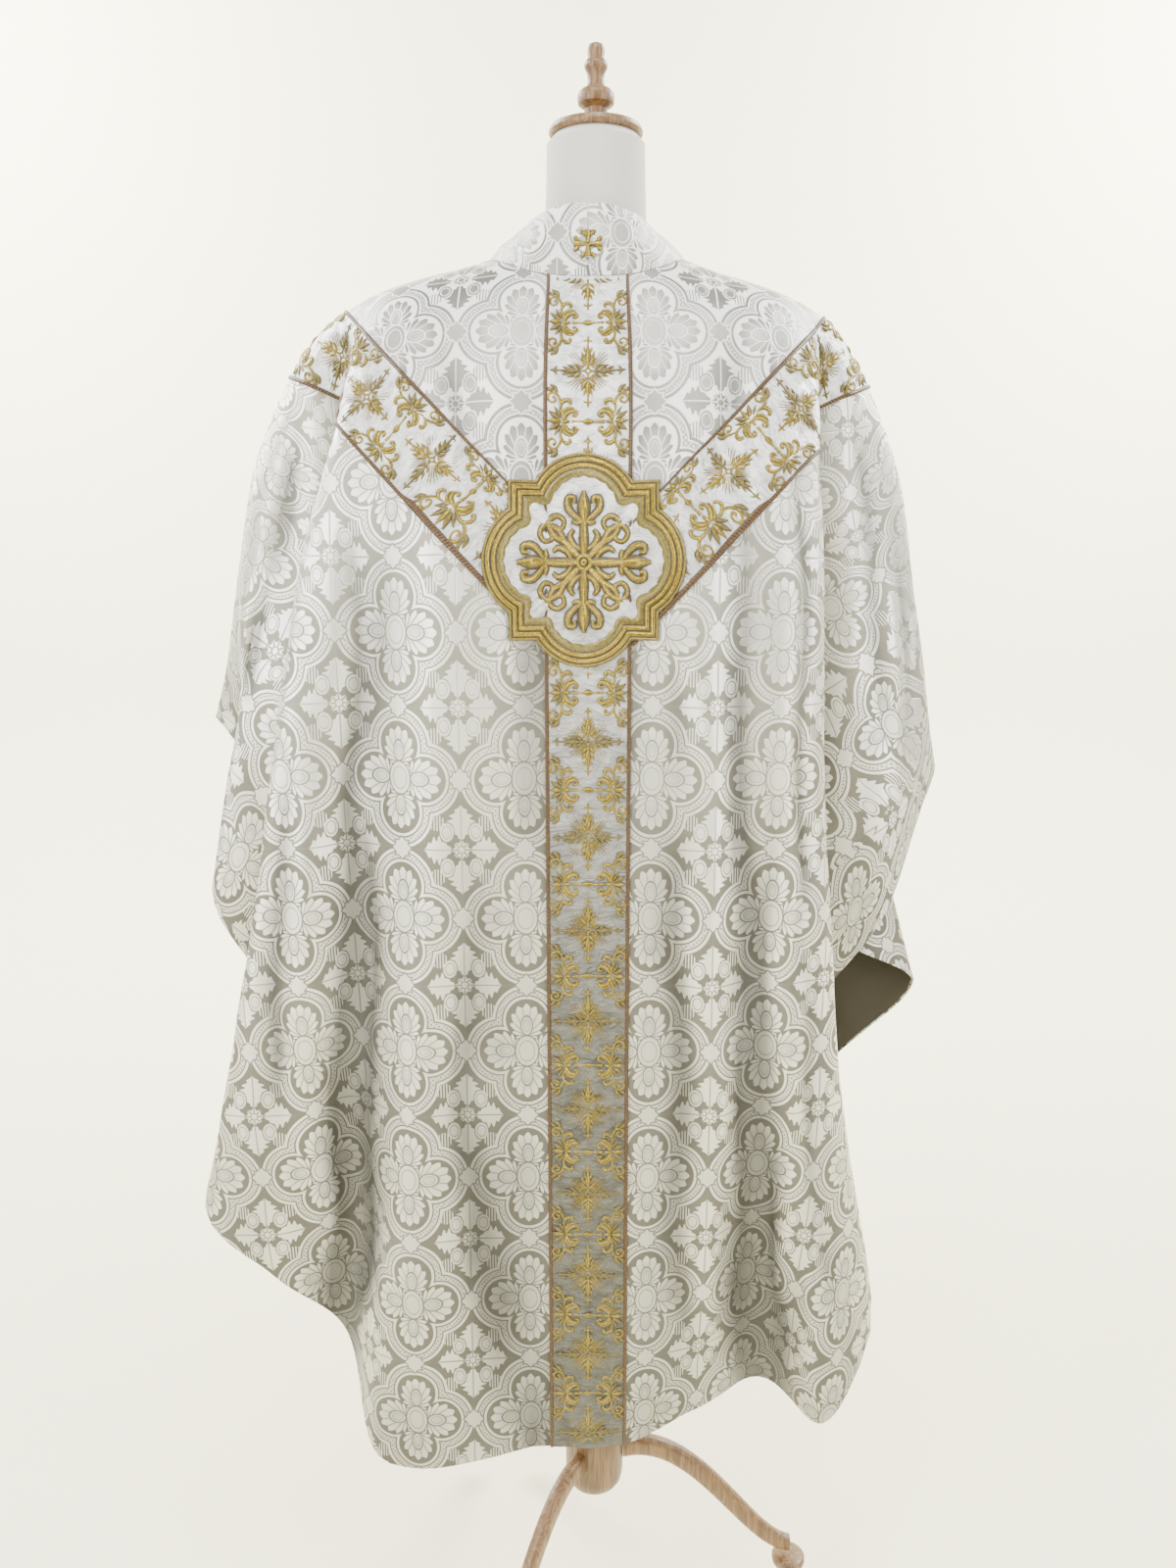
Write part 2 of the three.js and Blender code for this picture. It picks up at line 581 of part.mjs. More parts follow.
// Each row is a level section of the bust: height, half width, half depth.
const BUST_SECTIONS = [
  { z: 834.8, halfX: 140, halfY: 92 },
  { z: 842, halfX: 160, halfY: 108 },
  { z: 862, halfX: 170, halfY: 118 },
  { z: 920, halfX: 168, halfY: 118 },
  { z: 1000, halfX: 158, halfY: 110 },
  { z: 1100, halfX: 152, halfY: 106 },
  { z: 1200, halfX: 162, halfY: 114 },
  { z: 1300, halfX: 176, halfY: 120 },
  { z: 1380, halfX: 194, halfY: 118 },
  { z: 1430, halfX: 206, halfY: 110 },
  { z: 1475, halfX: 216, halfY: 96 },
  { z: 1502, halfX: 214, halfY: 84 },
  { z: 1522, halfX: 196, halfY: 74 },
  { z: 1539, halfX: 146, halfY: 62 },
  { z: 1552, halfX: 98, halfY: 54 },
  { z: 1567, halfX: 66, halfY: 51 },
  { z: 1596, halfX: 52, halfY: 51 },
];
const BUST_SIDES = 26;
const BUST_BACKSET = -6;
const BUST_SQUARENESS = 2.3;      // exponent of the section's rounded outline

function sectionRing({ z, halfX, halfY }, sides, squareness, backset) {
  const power = (value) => Math.sign(value) * Math.abs(value) ** (2 / squareness);
  return evenAngles(sides).map((angle) => new THREE.Vector3(
    halfX * power(Math.cos(angle)), backset + halfY * power(Math.sin(angle)), z,
  ));
}

function bust() {
  const rings = BUST_SECTIONS.map((row) => sectionRing(row, BUST_SIDES, BUST_SQUARENESS, BUST_BACKSET));
  const { topZ, radius } = NECK_POST;
  const roundness = 2;
  rings.push(sectionRing({ z: topZ - 8, halfX: radius, halfY: radius }, BUST_SIDES, roundness, 0));
  rings.push(sectionRing({ z: topZ, halfX: radius - 7, halfY: radius - 7 }, BUST_SIDES, roundness, 0));
  return loft(rings);
}

// A turned piece: pairs of radius and height from the bottom on the axis to the top on the axis.
function turned(profile, sides) {
  const geometry = new THREE.LatheGeometry(profile.map(([r, z]) => new THREE.Vector2(r, z)), sides);
  return geometry.rotateX(Math.PI / 2);
}

function neckCap() {
  const { topZ } = NECK_POST;
  const bottom = topZ + SEAM_GAP;
  const top = FINIAL_BASE_Z - SEAM_GAP;
  return turned([[0, bottom], [46, bottom], [48, topZ + 4], [46, topZ + 9], [0, top]], 28);
}

function finial() {
  const z = FINIAL_BASE_Z;
  return turned([
    [0, z], [11, z], [12, z + 14], [18.6, z + 18], [18.8, z + 28], [15, z + 32], [9, z + 34],
    [8.6, z + 47], [11.8, z + 51], [11.8, z + 57], [8, z + 60], [8.6, z + 70], [5, z + 74.7],
    [0, z + 74.7],
  ], 18);
}

function pole() {
  const { radius, topZ } = POLE;
  const bottomZ = HUB.bottomZ + HUB.floor + SEAM_GAP;
  return turned([[0, bottomZ], [radius, bottomZ], [radius, topZ], [0, topZ]], 20);
}

// A turned block with a blind bore that the pole stands in.
function hub() {
  const { radius, bottomZ, topZ, floor } = HUB;
  const bore = POLE.radius + SEAM_GAP;
  const profile = [
    [bore, bottomZ + floor], [bore, topZ], [bore + 6, topZ], [radius - 8, topZ - 14],
    [radius, topZ - 34], [radius, bottomZ + 24], [radius - 6, bottomZ + 8], [8, bottomZ],
    [0, bottomZ], [0, bottomZ + floor], [bore, bottomZ + floor],
  ];
  return turned(profile.toReversed(), 24);
}

// Tripod leg that leaves the hub level, arches down and ends over its foot. The centre line
// is a cubic curve in the plane of the leg, and the section narrows to the foot.
function leg(turn) {
  const curve = new THREE.CubicBezierCurve3(
    new THREE.Vector3(HUB.radius + SEAM_GAP, 0, 172),
    new THREE.Vector3(130, 0, 196),
    new THREE.Vector3(196, 0, 34),
    new THREE.Vector3(LEG.reach, 0, FOOT.height + LEG.depth / 2 + 1),
  );
  const rings = [];
  for (let k = 0; k <= LEG.rings; k++) {
    const t = k / LEG.rings;
    const centre = curve.getPoint(t);
    const along = k === 0 ? new THREE.Vector3(1, 0, 0) : curve.getTangent(t);
    const up = new THREE.Vector3(-along.z, 0, along.x);
    const depth = LEG.depth * (1 - 0.28 * t);
    const width = LEG.width * (1 - 0.15 * t);
    rings.push(evenAngles(LEG.sides, Math.PI / LEG.sides).map((angle) => {
      const point = centre.clone().addScaledVector(up, (depth / 2) * Math.sin(angle));
      point.y += (width / 2) * Math.cos(angle);
      return point;
    }));
  }
  const geometry = loft(rings);
  return geometry.rotateZ(turn);
}

function foot(turn) {
  const { radius, height } = FOOT;
  const geometry = turned([
    [0, 0], [radius - 3, 0], [radius, 3], [radius, 8], [radius - 6, height], [0, height],
  ], 20);
  return geometry.translate(LEG.reach, 0, 0).rotateZ(turn);
}

// ---------------------------------------------------------------- assembly

const DAMASK = { color: 0xe4e0d2, roughness: 0.55, metalness: 0 };
const SATIN = { color: 0xe9e6da, roughness: 0.4, metalness: 0 };
const LINING = { color: 0x55513f, roughness: 0.8, metalness: 0 };
const GOLD = { color: 0xb8933a, roughness: 0.4, metalness: 0.6 };
const LINEN = { color: 0xd8d0bd, roughness: 0.9, metalness: 0 };
const OAK = { color: 0xb88a52, roughness: 0.6, metalness: 0 };

const chasuble = new THREE.Group();

const dressForm = new THREE.Group();
dressForm.position.x = FORM_SHIFT;
chasuble.add(dressForm);

function add(name, geometry, finish, parent = chasuble) {
  const mesh = new THREE.Mesh(geometry, new THREE.MeshStandardMaterial(finish));
  mesh.name = name;
  parent.add(mesh);
}

add('back_panel', panel('back'), DAMASK);
add('front_panel', panel('front'), DAMASK);
add('back_lining', lining('back'), LINING);
add('front_lining', lining('front'), LINING);
add('orphrey_column_back', centreStrip(CENTRE_SPAN), SATIN);
add('orphrey_column_front', centreStrip(FRONT_CENTRE_SPAN), SATIN);
for (const [name, plan] of Object.entries(ARMS)) add(name, arm(plan), SATIN);
add('medallion', medallion(), GOLD);
add('collar_right', collarHalf(CENTRE_SPAN, FRONT_CENTRE_SPAN), DAMASK);
add('collar_left', collarHalf(FRONT_CENTRE_SPAN, CENTRE_SPAN + SPANS), DAMASK);
add('collar_cross', collarCross(), GOLD);
add('form_bust', bust(), LINEN, dressForm);
add('form_neck_cap', neckCap(), OAK, dressForm);
add('form_finial', finial(), OAK, dressForm);
add('stand_pole', pole(), OAK, dressForm);
add('stand_hub', hub(), OAK, dressForm);
for (let i = 0; i < LEG.count; i++) {
  const turn = (i * 2 * Math.PI) / LEG.count;
  add(`stand_leg_${i + 1}`, leg(turn), OAK, dressForm);
  add(`stand_foot_${i + 1}`, foot(turn), OAK, dressForm);
}

// The origin is the middle of the whole object's footprint.
const footprint = new THREE.Box3().setFromObject(chasuble).getCenter(new THREE.Vector3());
chasuble.position.set(-footprint.x, -footprint.y, 0);
chasuble.updateMatrixWorld(true);

export default chasuble;
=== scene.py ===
import math

import bpy
import numpy as np
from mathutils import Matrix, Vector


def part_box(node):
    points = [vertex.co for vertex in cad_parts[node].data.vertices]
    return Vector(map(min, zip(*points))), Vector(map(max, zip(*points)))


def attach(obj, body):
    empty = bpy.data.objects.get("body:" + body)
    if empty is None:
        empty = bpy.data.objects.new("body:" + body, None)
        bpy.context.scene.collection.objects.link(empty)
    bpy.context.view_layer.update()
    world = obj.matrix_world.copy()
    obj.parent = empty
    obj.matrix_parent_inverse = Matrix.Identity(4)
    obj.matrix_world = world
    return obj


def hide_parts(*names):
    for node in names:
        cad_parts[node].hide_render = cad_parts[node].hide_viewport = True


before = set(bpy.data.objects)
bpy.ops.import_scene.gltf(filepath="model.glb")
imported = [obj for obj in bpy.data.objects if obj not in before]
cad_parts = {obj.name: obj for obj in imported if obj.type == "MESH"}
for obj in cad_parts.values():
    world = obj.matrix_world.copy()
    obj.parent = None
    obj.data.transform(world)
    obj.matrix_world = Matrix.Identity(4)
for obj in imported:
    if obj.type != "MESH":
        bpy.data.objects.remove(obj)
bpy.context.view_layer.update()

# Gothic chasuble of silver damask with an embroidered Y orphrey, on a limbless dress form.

bl_info = {
    "name": "Damask Chasuble",
    "version": (1, 0, 0),
    "blender": (4, 5, 0),
    "location": "3D View > Sidebar > Chasuble",
    "description": "Builds a lined damask chasuble with orphrey, medallion, dress form and stand",
    "category": "Add Mesh",
}

MM = 0.001
BODY = "root"


def middle(node):
    low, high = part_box(node)
    return np.array([(low.x + high.x) / 2, (low.y + high.y) / 2, 0.0])


FORM_AXIS = middle("stand_pole")
GARMENT_AXIS = FORM_AXIS - np.array([8 * MM, 0, 0])      # the garment hangs a little to one side


# Slanting arms of the orphrey: height of the upper edge at the centre strip, its rise per
# millimetre outwards, and the depth of the arm below it, in millimetres.
BACK_ARM = {"top": 1318, "slope": 1.04, "drop": 122}
FRONT_ARM = {"top": 1262, "slope": 1.27, "drop": 137}
STRIP_SIDE = 42.8                    # x of the arms' inner end, just past the centre strip


# ---------------------------------------------------------------- settings

class ChasubleSettings(bpy.types.PropertyGroup):
    strip_width: bpy.props.FloatProperty(
        name="Strip width", description="Width of the embroidered satin strip",
        default=0.085, min=0.06, max=0.12, unit="LENGTH", subtype="DISTANCE")
    motif_repeat: bpy.props.FloatProperty(
        name="Motif repeat", description="Distance from one embroidered cross to the next",
        default=0.0975, min=0.08, max=0.13, unit="LENGTH", subtype="DISTANCE")
    cord_width: bpy.props.FloatProperty(
        name="Cord width", description="Width of the cord couched along the strips",
        default=0.0042, min=0.002, max=0.008, unit="LENGTH", subtype="DISTANCE")
    crease_depth: bpy.props.FloatProperty(
        name="Crease depth", description="Strength of the small creases in the cloth",
        default=1.8, min=0.0, max=3.0, subtype="FACTOR")
    # Figure and ground are the damask's colours low down, under the painted sheen of the upper cloth and
    # yoke.
    figure_colour: bpy.props.FloatVectorProperty(
        name="Damask figure", description="Colour of the satin figure of the damask",
        default=(0.82, 0.80, 0.70), size=3, min=0.0, max=1.0, subtype="COLOR")
    ground_colour: bpy.props.FloatVectorProperty(
        name="Damask ground", description="Colour of the matte ground of the damask",
        default=(0.145, 0.136, 0.100), size=3, min=0.0, max=1.0, subtype="COLOR")
    # Strip satin is the colour low down, painted darker as shade; towards the top it is painted lighter as
    # sheen.
    satin_colour: bpy.props.FloatVectorProperty(
        name="Strip satin", description="Colour of the white satin under the embroidery",
        default=(0.108, 0.105, 0.080), size=3, min=0.0, max=1.0, subtype="COLOR")
    gold_colour: bpy.props.FloatVectorProperty(
        name="Gold thread", description="Colour of the gold embroidery thread",
        default=(0.20, 0.126, 0.0066), size=3, min=0.0, max=1.0, subtype="COLOR")
    lining_colour: bpy.props.FloatVectorProperty(
        name="Lining", description="Colour of the lining",
        default=(0.050, 0.043, 0.027), size=3, min=0.0, max=1.0, subtype="COLOR")


def settings():
    return bpy.context.scene.chasuble


# ---------------------------------------------------------------- folds of the garment
# One row for each fold line that runs down the cloth: x outwards from the centre line, y and
# z, in millimetres, at six stations: neck seam, shoulder tip, shoulder blade, waist, hip, hem.

BACK_CENTRE = ((0, 0, 0, 0, 0, 0), (-85, -118, -148, -152, -150, -150), (1550, 1470, 1330, 1010, 650, 304))
FRONT_CENTRE = ((0, 0, 0, 0, 0, 0), (90, 140, 162, 165, 163, 160), (1524, 1440, 1290, 970, 640, 300))

BACK_RIGHT = {
    "strip edge": ((40, 42.5, 42.5, 42.5, 42.5, 42.5), (-78, -117, -148, -153, -151, -150),
        (1553, 1472, 1330, 1010, 650, 305)),
    "flat": ((52, 110, 115, 120, 122, 122), (-72, -111, -150, -156, -150, -128),
        (1556, 1480, 1330, 1010, 650, 326)),
    "soft valley": ((62, 148, 162, 176, 188, 200), (-65, -102, -145, -150, -132, -86),
        (1560, 1492, 1330, 1010, 650, 332)),
    "soft crest": ((71, 176, 196, 212, 234, 264), (-57, -90, -137, -149, -147, -142),
        (1564, 1501, 1332, 1010, 655, 321)),
    "back edge crest": ((79, 198, 221, 238, 268, 312), (-48, -74, -116, -128, -124, -106),
        (1568, 1509, 1345, 1020, 690, 372)),
    "deep valley": ((90, 226, 214, 218, 234, 254), (-32, -42, -34, -38, -42, -42),
        (1575, 1516, 1345, 1070, 900, 776)),
    "sleeve back": ((95, 238, 276, 306, 320, 324), (-22, -26, -44, -50, -52, -52),
        (1578, 1519, 1345, 1150, 1000, 886)),
    "sleeve side": ((98, 243, 304, 342, 362, 368), (-15, -13, -24, -27, -26, -24),
        (1580, 1520, 1380, 1205, 1085, 1003)),
}
RIDGE_RIGHT = ((100, 245, 318, 355, 378, 392), (-8, 0, 0, 0, 0, 0), (1581, 1519, 1402, 1245, 1130, 1052))
FRONT_RIGHT = {
    "sleeve side": ((98, 243, 306, 343, 362, 371), (-1, 13, 24, 27, 25, 19),
        (1580, 1518, 1382, 1210, 1092, 1018)),
    "sleeve front": ((95, 238, 284, 318, 336, 347), (6, 26, 44, 48, 46, 38),
        (1578, 1516, 1350, 1160, 1035, 950)),
    "deep valley": ((89, 226, 232, 260, 284, 302), (18, 44, 62, 66, 60, 48),
        (1573, 1512, 1340, 1110, 955, 838)),
    "front edge crest": ((76, 198, 262, 318, 362, 400), (40, 80, 120, 120, 102, 80),
        (1562, 1500, 1340, 1110, 920, 765)),
    "soft valley": ((64, 150, 196, 240, 278, 306), (56, 104, 140, 144, 128, 104),
        (1553, 1484, 1318, 1045, 830, 644)),
    "soft crest": ((54, 104, 138, 170, 202, 236), (66, 124, 155, 166, 164, 156),
        (1544, 1464, 1302, 1000, 720, 446)),
    "inner valley": ((46, 72, 88, 104, 122, 140), (73, 133, 160, 164, 156, 138),
        (1537, 1451, 1295, 980, 670, 344)),
    "strip edge": ((38, 42.5, 42.5, 42.5, 42.5, 42.5), (78, 139, 162, 166, 164, 160),
        (1533, 1442, 1291, 971, 641, 306)),
}
BACK_LEFT = {
    "strip edge": ((40, 42.5, 42.5, 42.5, 42.5, 42.5), (-78, -117, -148, -153, -151, -151),
        (1553, 1472, 1330, 1010, 650, 303)),
    "soft crest": ((52, 112, 134, 158, 190, 236), (-72, -111, -149, -154, -152, -148),
        (1556, 1482, 1332, 1010, 640, 287)),
    "long valley": ((62, 150, 184, 224, 254, 279), (-65, -102, -142, -138, -116, -84),
        (1560, 1495, 1338, 1030, 690, 398)),
    "wing": ((71, 178, 220, 268, 312, 350), (-57, -88, -134, -141, -137, -124),
        (1565, 1508, 1350, 1060, 760, 494)),
    "back edge crest": ((80, 203, 256, 308, 360, 418), (-48, -72, -112, -126, -126, -116),
        (1569, 1517, 1370, 1120, 850, 556)),
    "deep valley": ((91, 234, 238, 268, 304, 346), (-32, -42, -42, -46, -48, -44),
        (1575, 1524, 1356, 1130, 940, 764)),
    "sleeve back": ((96, 246, 316, 364, 386, 414), (-22, -26, -48, -58, -58, -54),
        (1578, 1528, 1392, 1210, 1062, 922)),
    "sleeve side": ((99, 251, 334, 374, 382, 380), (-15, -13, -24, -27, -20, -12),
        (1580, 1530, 1405, 1250, 1135, 1052)),
}
RIDGE_LEFT = ((101, 253, 342, 380, 402, 424), (-8, 0, 1, 3, 10, 18), (1581, 1530, 1412, 1275, 1180, 1106))
FRONT_LEFT = {
    "sleeve side": ((99, 251, 332, 370, 392, 404), (-1, 13, 26, 32, 38, 40),
        (1580, 1529, 1398, 1252, 1150, 1070)),
    "sleeve front": ((96, 246, 306, 340, 358, 370), (6, 26, 46, 54, 58, 56),
        (1578, 1526, 1368, 1205, 1085, 985)),
    "deep valley": ((90, 232, 242, 270, 292, 310), (18, 44, 64, 72, 72, 64),
        (1573, 1520, 1346, 1120, 975, 868)),
    "front edge crest": ((77, 202, 264, 316, 356, 392), (40, 80, 120, 126, 112, 92),
        (1562, 1504, 1345, 1115, 925, 772)),
    "soft valley": ((64, 151, 198, 242, 276, 300), (56, 104, 140, 146, 132, 108),
        (1553, 1486, 1320, 1048, 824, 628)),
    "soft crest": ((54, 104, 138, 168, 196, 226), (66, 124, 155, 166, 165, 158),
        (1544, 1465, 1302, 1000, 720, 440)),
    "inner valley": ((46, 72, 88, 102, 118, 134), (73, 133, 160, 164, 157, 142),
        (1537, 1451, 1295, 980, 670, 340)),
    "strip edge": ((38, 42.5, 42.5, 42.5, 42.5, 42.5), (78, 139, 162, 166, 164, 160),
        (1533, 1442, 1291, 971, 641, 306)),
}


def fold_line(row, side):
    x, y, z = (np.array(values, float) for values in row)
    return np.stack([side * x, y, z], axis=1) * MM


def all_folds():
    """Fold lines round the body: left ridge, back, right ridge, front. Shape (36, 6, 3)."""
    left = [RIDGE_LEFT, *reversed(BACK_LEFT.values())]
    right = [*BACK_RIGHT.values(), RIDGE_RIGHT, *FRONT_RIGHT.values()]
    lines = [fold_line(row, -1) for row in left]
    lines.append(fold_line(BACK_CENTRE, 1))
    lines += [fold_line(row, 1) for row in right]
    lines.append(fold_line(FRONT_CENTRE, 1))
    lines += [fold_line(row, -1) for row in reversed(FRONT_LEFT.values())]
    return np.array(lines)


FOLDS = all_folds()
SPANS, STATIONS = FOLDS.shape[:2]
BACK_SPAN = 9                       # span index of the centre back
RIDGE_SPAN = 18                     # of the right shoulder ridge
FRONT_SPAN = 27                     # of the centre front


# ---------------------------------------------------------------- the cloth's surface

def length(vectors):
    return np.linalg.norm(vectors, axis=-1, keepdims=True)


def unit(vectors):
    return vectors / np.maximum(length(vectors), 1e-9)


def between(before, a, b, after, t):
    """Cubic from a to b. Its end slopes are the mean of the chord slopes on both sides, each
    weighted by the length of the other chord, so uneven spacing makes no overshoot."""
    def slope(p, q, r):
        back, ahead = length(q - p), length(r - q)
        return (q - p) * ahead / (back * (back + ahead)) + (r - q) * back / (ahead * (back + ahead))
    span = length(b - a)
    start, end = slope(before, a, b) * span, slope(a, b, after) * span
    t2, t3 = t * t, t * t * t
    return (a * (2 * t3 - 3 * t2 + 1) + start * (t3 - 2 * t2 + t)
            + b * (3 * t2 - 2 * t3) + end * (t3 - t2))


def matched(*values):
    """The values as arrays of one shape."""
    return np.broadcast_arrays(*(np.asarray(value, float) for value in values))


def full_turn(steps):
    return np.linspace(0, 2 * np.pi, steps, endpoint=False)


def down_fold(fold, station):
    """Points down fold lines at stations 0 to 5; past both ends the line goes on straight."""
    i = np.clip(np.floor(station).astype(int), 0, STATIONS - 2)
    a, b = FOLDS[fold, i], FOLDS[fold, i + 1]
    before = np.where((i > 0)[..., None], FOLDS[fold, np.maximum(i - 1, 0)], 2 * a - b)
    last = i + 2 > STATIONS - 1
    after = np.where(last[..., None], 2 * b - a, FOLDS[fold, np.minimum(i + 2, STATIONS - 1)])
    return between(before, a, b, after, (station - i)[..., None])


def cloth(around, station):
    """Middle surface of the damask: a cubic across four neighbouring fold lines."""
    around, station = matched(around, station)
    i = np.floor(around).astype(int)
    near = [down_fold((i + k) % SPANS, station) for k in (-1, 0, 1, 2)]
    return between(*near, (around - i)[..., None])


def cloth_normal(around, station):
    """Outward unit normal: the slope down the cloth crossed with the slope along it."""
    step = 0.02
    low, high = np.maximum(station - step, 0), np.minimum(station + step, STATIONS - 1)
    down = cloth(around, high) - cloth(around, low)
    across = cloth(around + step, station) - cloth(around - step, station)
    return unit(np.cross(down, across))


# Small creases: zone, first and last point (x, z), half width and height, in millimetres. A
# trough has a negative height.
CREASES = (
    ("back", (150, 1480), (96, 1300), 17, -3.2),
    ("back", (-150, 1485), (-100, 1310), 18, -3.0),
    ("back", (138, 1330), (186, 470), 20, -3.6),
    ("back", (82, 1190), (100, 450), 24, -2.4),
    ("back", (118, 1150), (140, 450), 15, 2.8),
    ("back", (-160, 1320), (-158, 900), 30, 2.6),
    ("back", (-126, 1010), (-130, 500), 20, -1.4),
    ("back", (-166, 900), (-190, 430), 20, 3.0),
    ("back", (-226, 1290), (-262, 470), 24, -6.5),
    ("sleeve", (-226, 1290), (-262, 470), 24, -6.5),
    ("back", (206, 1330), (222, 960), 12, -4.4),
    ("sleeve", (206, 1330), (222, 960), 12, -4.4),
    ("back", (196, 1100), (222, 470), 12, 3.0),
    ("back", (222, 900), (262, 480), 16, -3.6),
    ("back", (-290, 1000), (-300, 560), 18, 3.0),
    ("back", (-318, 1120), (-330, 720), 18, -4.0),
    ("sleeve", (282, 1400), (318, 1120), 14, -4.0),
    ("sleeve", (262, 1330), (286, 1010), 13, 3.6),
    ("sleeve", (330, 1280), (350, 1080), 12, -3.2),
    ("sleeve", (-300, 1420), (-352, 1150), 14, -4.4),
    ("sleeve", (-282, 1340), (-330, 1010), 14, 3.8),
    ("sleeve", (-350, 1300), (-380, 1090), 12, -3.4),
    ("front", (120, 1400), (96, 1200), 18, -3.2),
    ("front", (-118, 1410), (-90, 1180), 18, -3.0),
    ("front", (180, 1250), (150, 900), 22, -4.2),
    ("front", (-176, 1230), (-160, 860), 22, -4.4),
    ("front", (70, 900), (76, 460), 16, 2.6),
    ("front", (-72, 980), (-64, 520), 16, 2.6),
    ("front", (236, 1100), (292, 830), 18, 3.6),
    ("front", (-240, 1120), (-286, 820), 18, 3.8),
)
# Centre of each zone, and how many fold lines away it begins and ends to fade.
ZONES = {"back": (BACK_SPAN, 4.4, 5.4), "front": (FRONT_SPAN, 4.4, 5.4)}
# Slack of hanging cloth: height of the waves, their width and length in millimetres, and seed.
SLACK = ((4.2, 105, 620, 23), (1.7, 52, 230, 21), (0.7, 23, 80, 22))


def smooth_step(low, high, value):
    t = np.clip((value - low) / (high - low), 0, 1)
    return t * t * (3 - 2 * t)


def zone_weight(zone, around):
    """1 inside the zone's fold lines, fading to 0 beyond; the sleeves are all the rest."""
    if zone == "sleeve":
        return 1 - sum(zone_weight(name, around) for name in ZONES)
    centre, full, none = ZONES[zone]
    away = np.abs((around - centre + SPANS / 2) % SPANS - SPANS / 2)
    return 1 - smooth_step(full, none, away)


def relief(around, station, points):
    """Height of the small creases: bell-shaped across, and easing out past both ends, with
    the slack of hanging cloth as long soft noise."""
    total = np.zeros(points.shape[:-1])
    x, z = points[..., 0] / MM, points[..., 2] / MM
    for zone, start, end, width, height in CREASES:
        run = np.subtract(end, start)
        reach = np.hypot(*run)
        along = ((x - start[0]) * run[0] + (z - start[1]) * run[1]) / reach
        across = ((x - start[0]) * run[1] - (z - start[1]) * run[0]) / reach
        across = across + 6 * np.sin(along / 55)
        ends = smooth_step(-60, 50, along) * smooth_step(-60, 50, reach - along)
        total += height * np.exp(-(across / width) ** 2) * ends * zone_weight(zone, around)
    slack = sum(strength * soft_noise(x / wide + 20, z / long + 20, seed)
                for strength, wide, long, seed in SLACK)
    total += slack * smooth_step(0.2, 1.7, station)
    return total * MM * settings().crease_depth


def draped(around, station, height=0.0):
    """Point of the creased cloth at a height above its middle surface."""
    around, station = matched(around, station)
    points = cloth(around, station)
    lift = relief(around, station, points) + height
    return points + cloth_normal(around, station) * lift[..., None]


def find_on_cloth(x, z, around, station):
    """Newton's method from a first guess to the place where the cloth has that x and z."""
    x, z, around, station = matched(x, z, around, station)
    step = 0.01
    for _ in range(8):
        here = cloth(around, station)
        across = (cloth(around + step, station) - here) / step
        down = (cloth(around, station + step) - here) / step
        dx, dz = x - here[..., 0], z - here[..., 2]
        det = across[..., 0] * down[..., 2] - across[..., 2] * down[..., 0]
        around = around + np.clip((dx * down[..., 2] - dz * down[..., 0]) / det, -0.5, 0.5)
        station = station + np.clip((across[..., 0] * dz - across[..., 2] * dx) / det, -0.5, 0.5)
    return around, station


def soft_noise(u, v, seed):
    """Smooth noise from -1 to 1: seeded random values on a unit lattice, eased in between."""
    table = np.random.RandomState(seed).uniform(-1, 1, (64, 64))
    i, j = np.floor(u).astype(int), np.floor(v).astype(int)
    s, t = smooth_step(0, 1, u - i), smooth_step(0, 1, v - j)
    value = lambda a, b: table[a % 64, b % 64]
    top = value(i, j) * (1 - s) + value(i + 1, j) * s
    low = value(i, j + 1) * (1 - s) + value(i + 1, j + 1) * s
    return top * (1 - t) + low * t


# ---------------------------------------------------------------- meshes

def grid_faces(rows, columns, closed=False):
    """Quads of a grid whose rows run down and whose columns run across, facing down x across."""
    index = np.arange(rows * columns).reshape(rows, columns)
    if closed:
        index = np.concatenate([index, index[:, :1]], axis=1)
    a, b, c, d = index[:-1, :-1], index[1:, :-1], index[1:, 1:], index[:-1, 1:]
    return np.stack([a, b, c, d], axis=-1).reshape(-1, 4)


def shell(outer, inner):
    """Closed wall between two grids of points: both skins and the four edges between them."""
    rows, columns = outer.shape[:2]
    count = rows * columns
    index = np.arange(count).reshape(rows, columns)
    skin = grid_faces(rows, columns)
    def rim(line):
        return np.stack([line[:-1], line[:-1] + count, line[1:] + count, line[1:]], axis=-1)
    edges = [rim(index[:, 0]), rim(index[::-1, -1]), rim(index[0, ::-1]), rim(index[-1])]
    points = np.concatenate([outer.reshape(-1, 3), inner.reshape(-1, 3)])
    return points, np.concatenate([skin, skin[:, ::-1] + count, *edges])


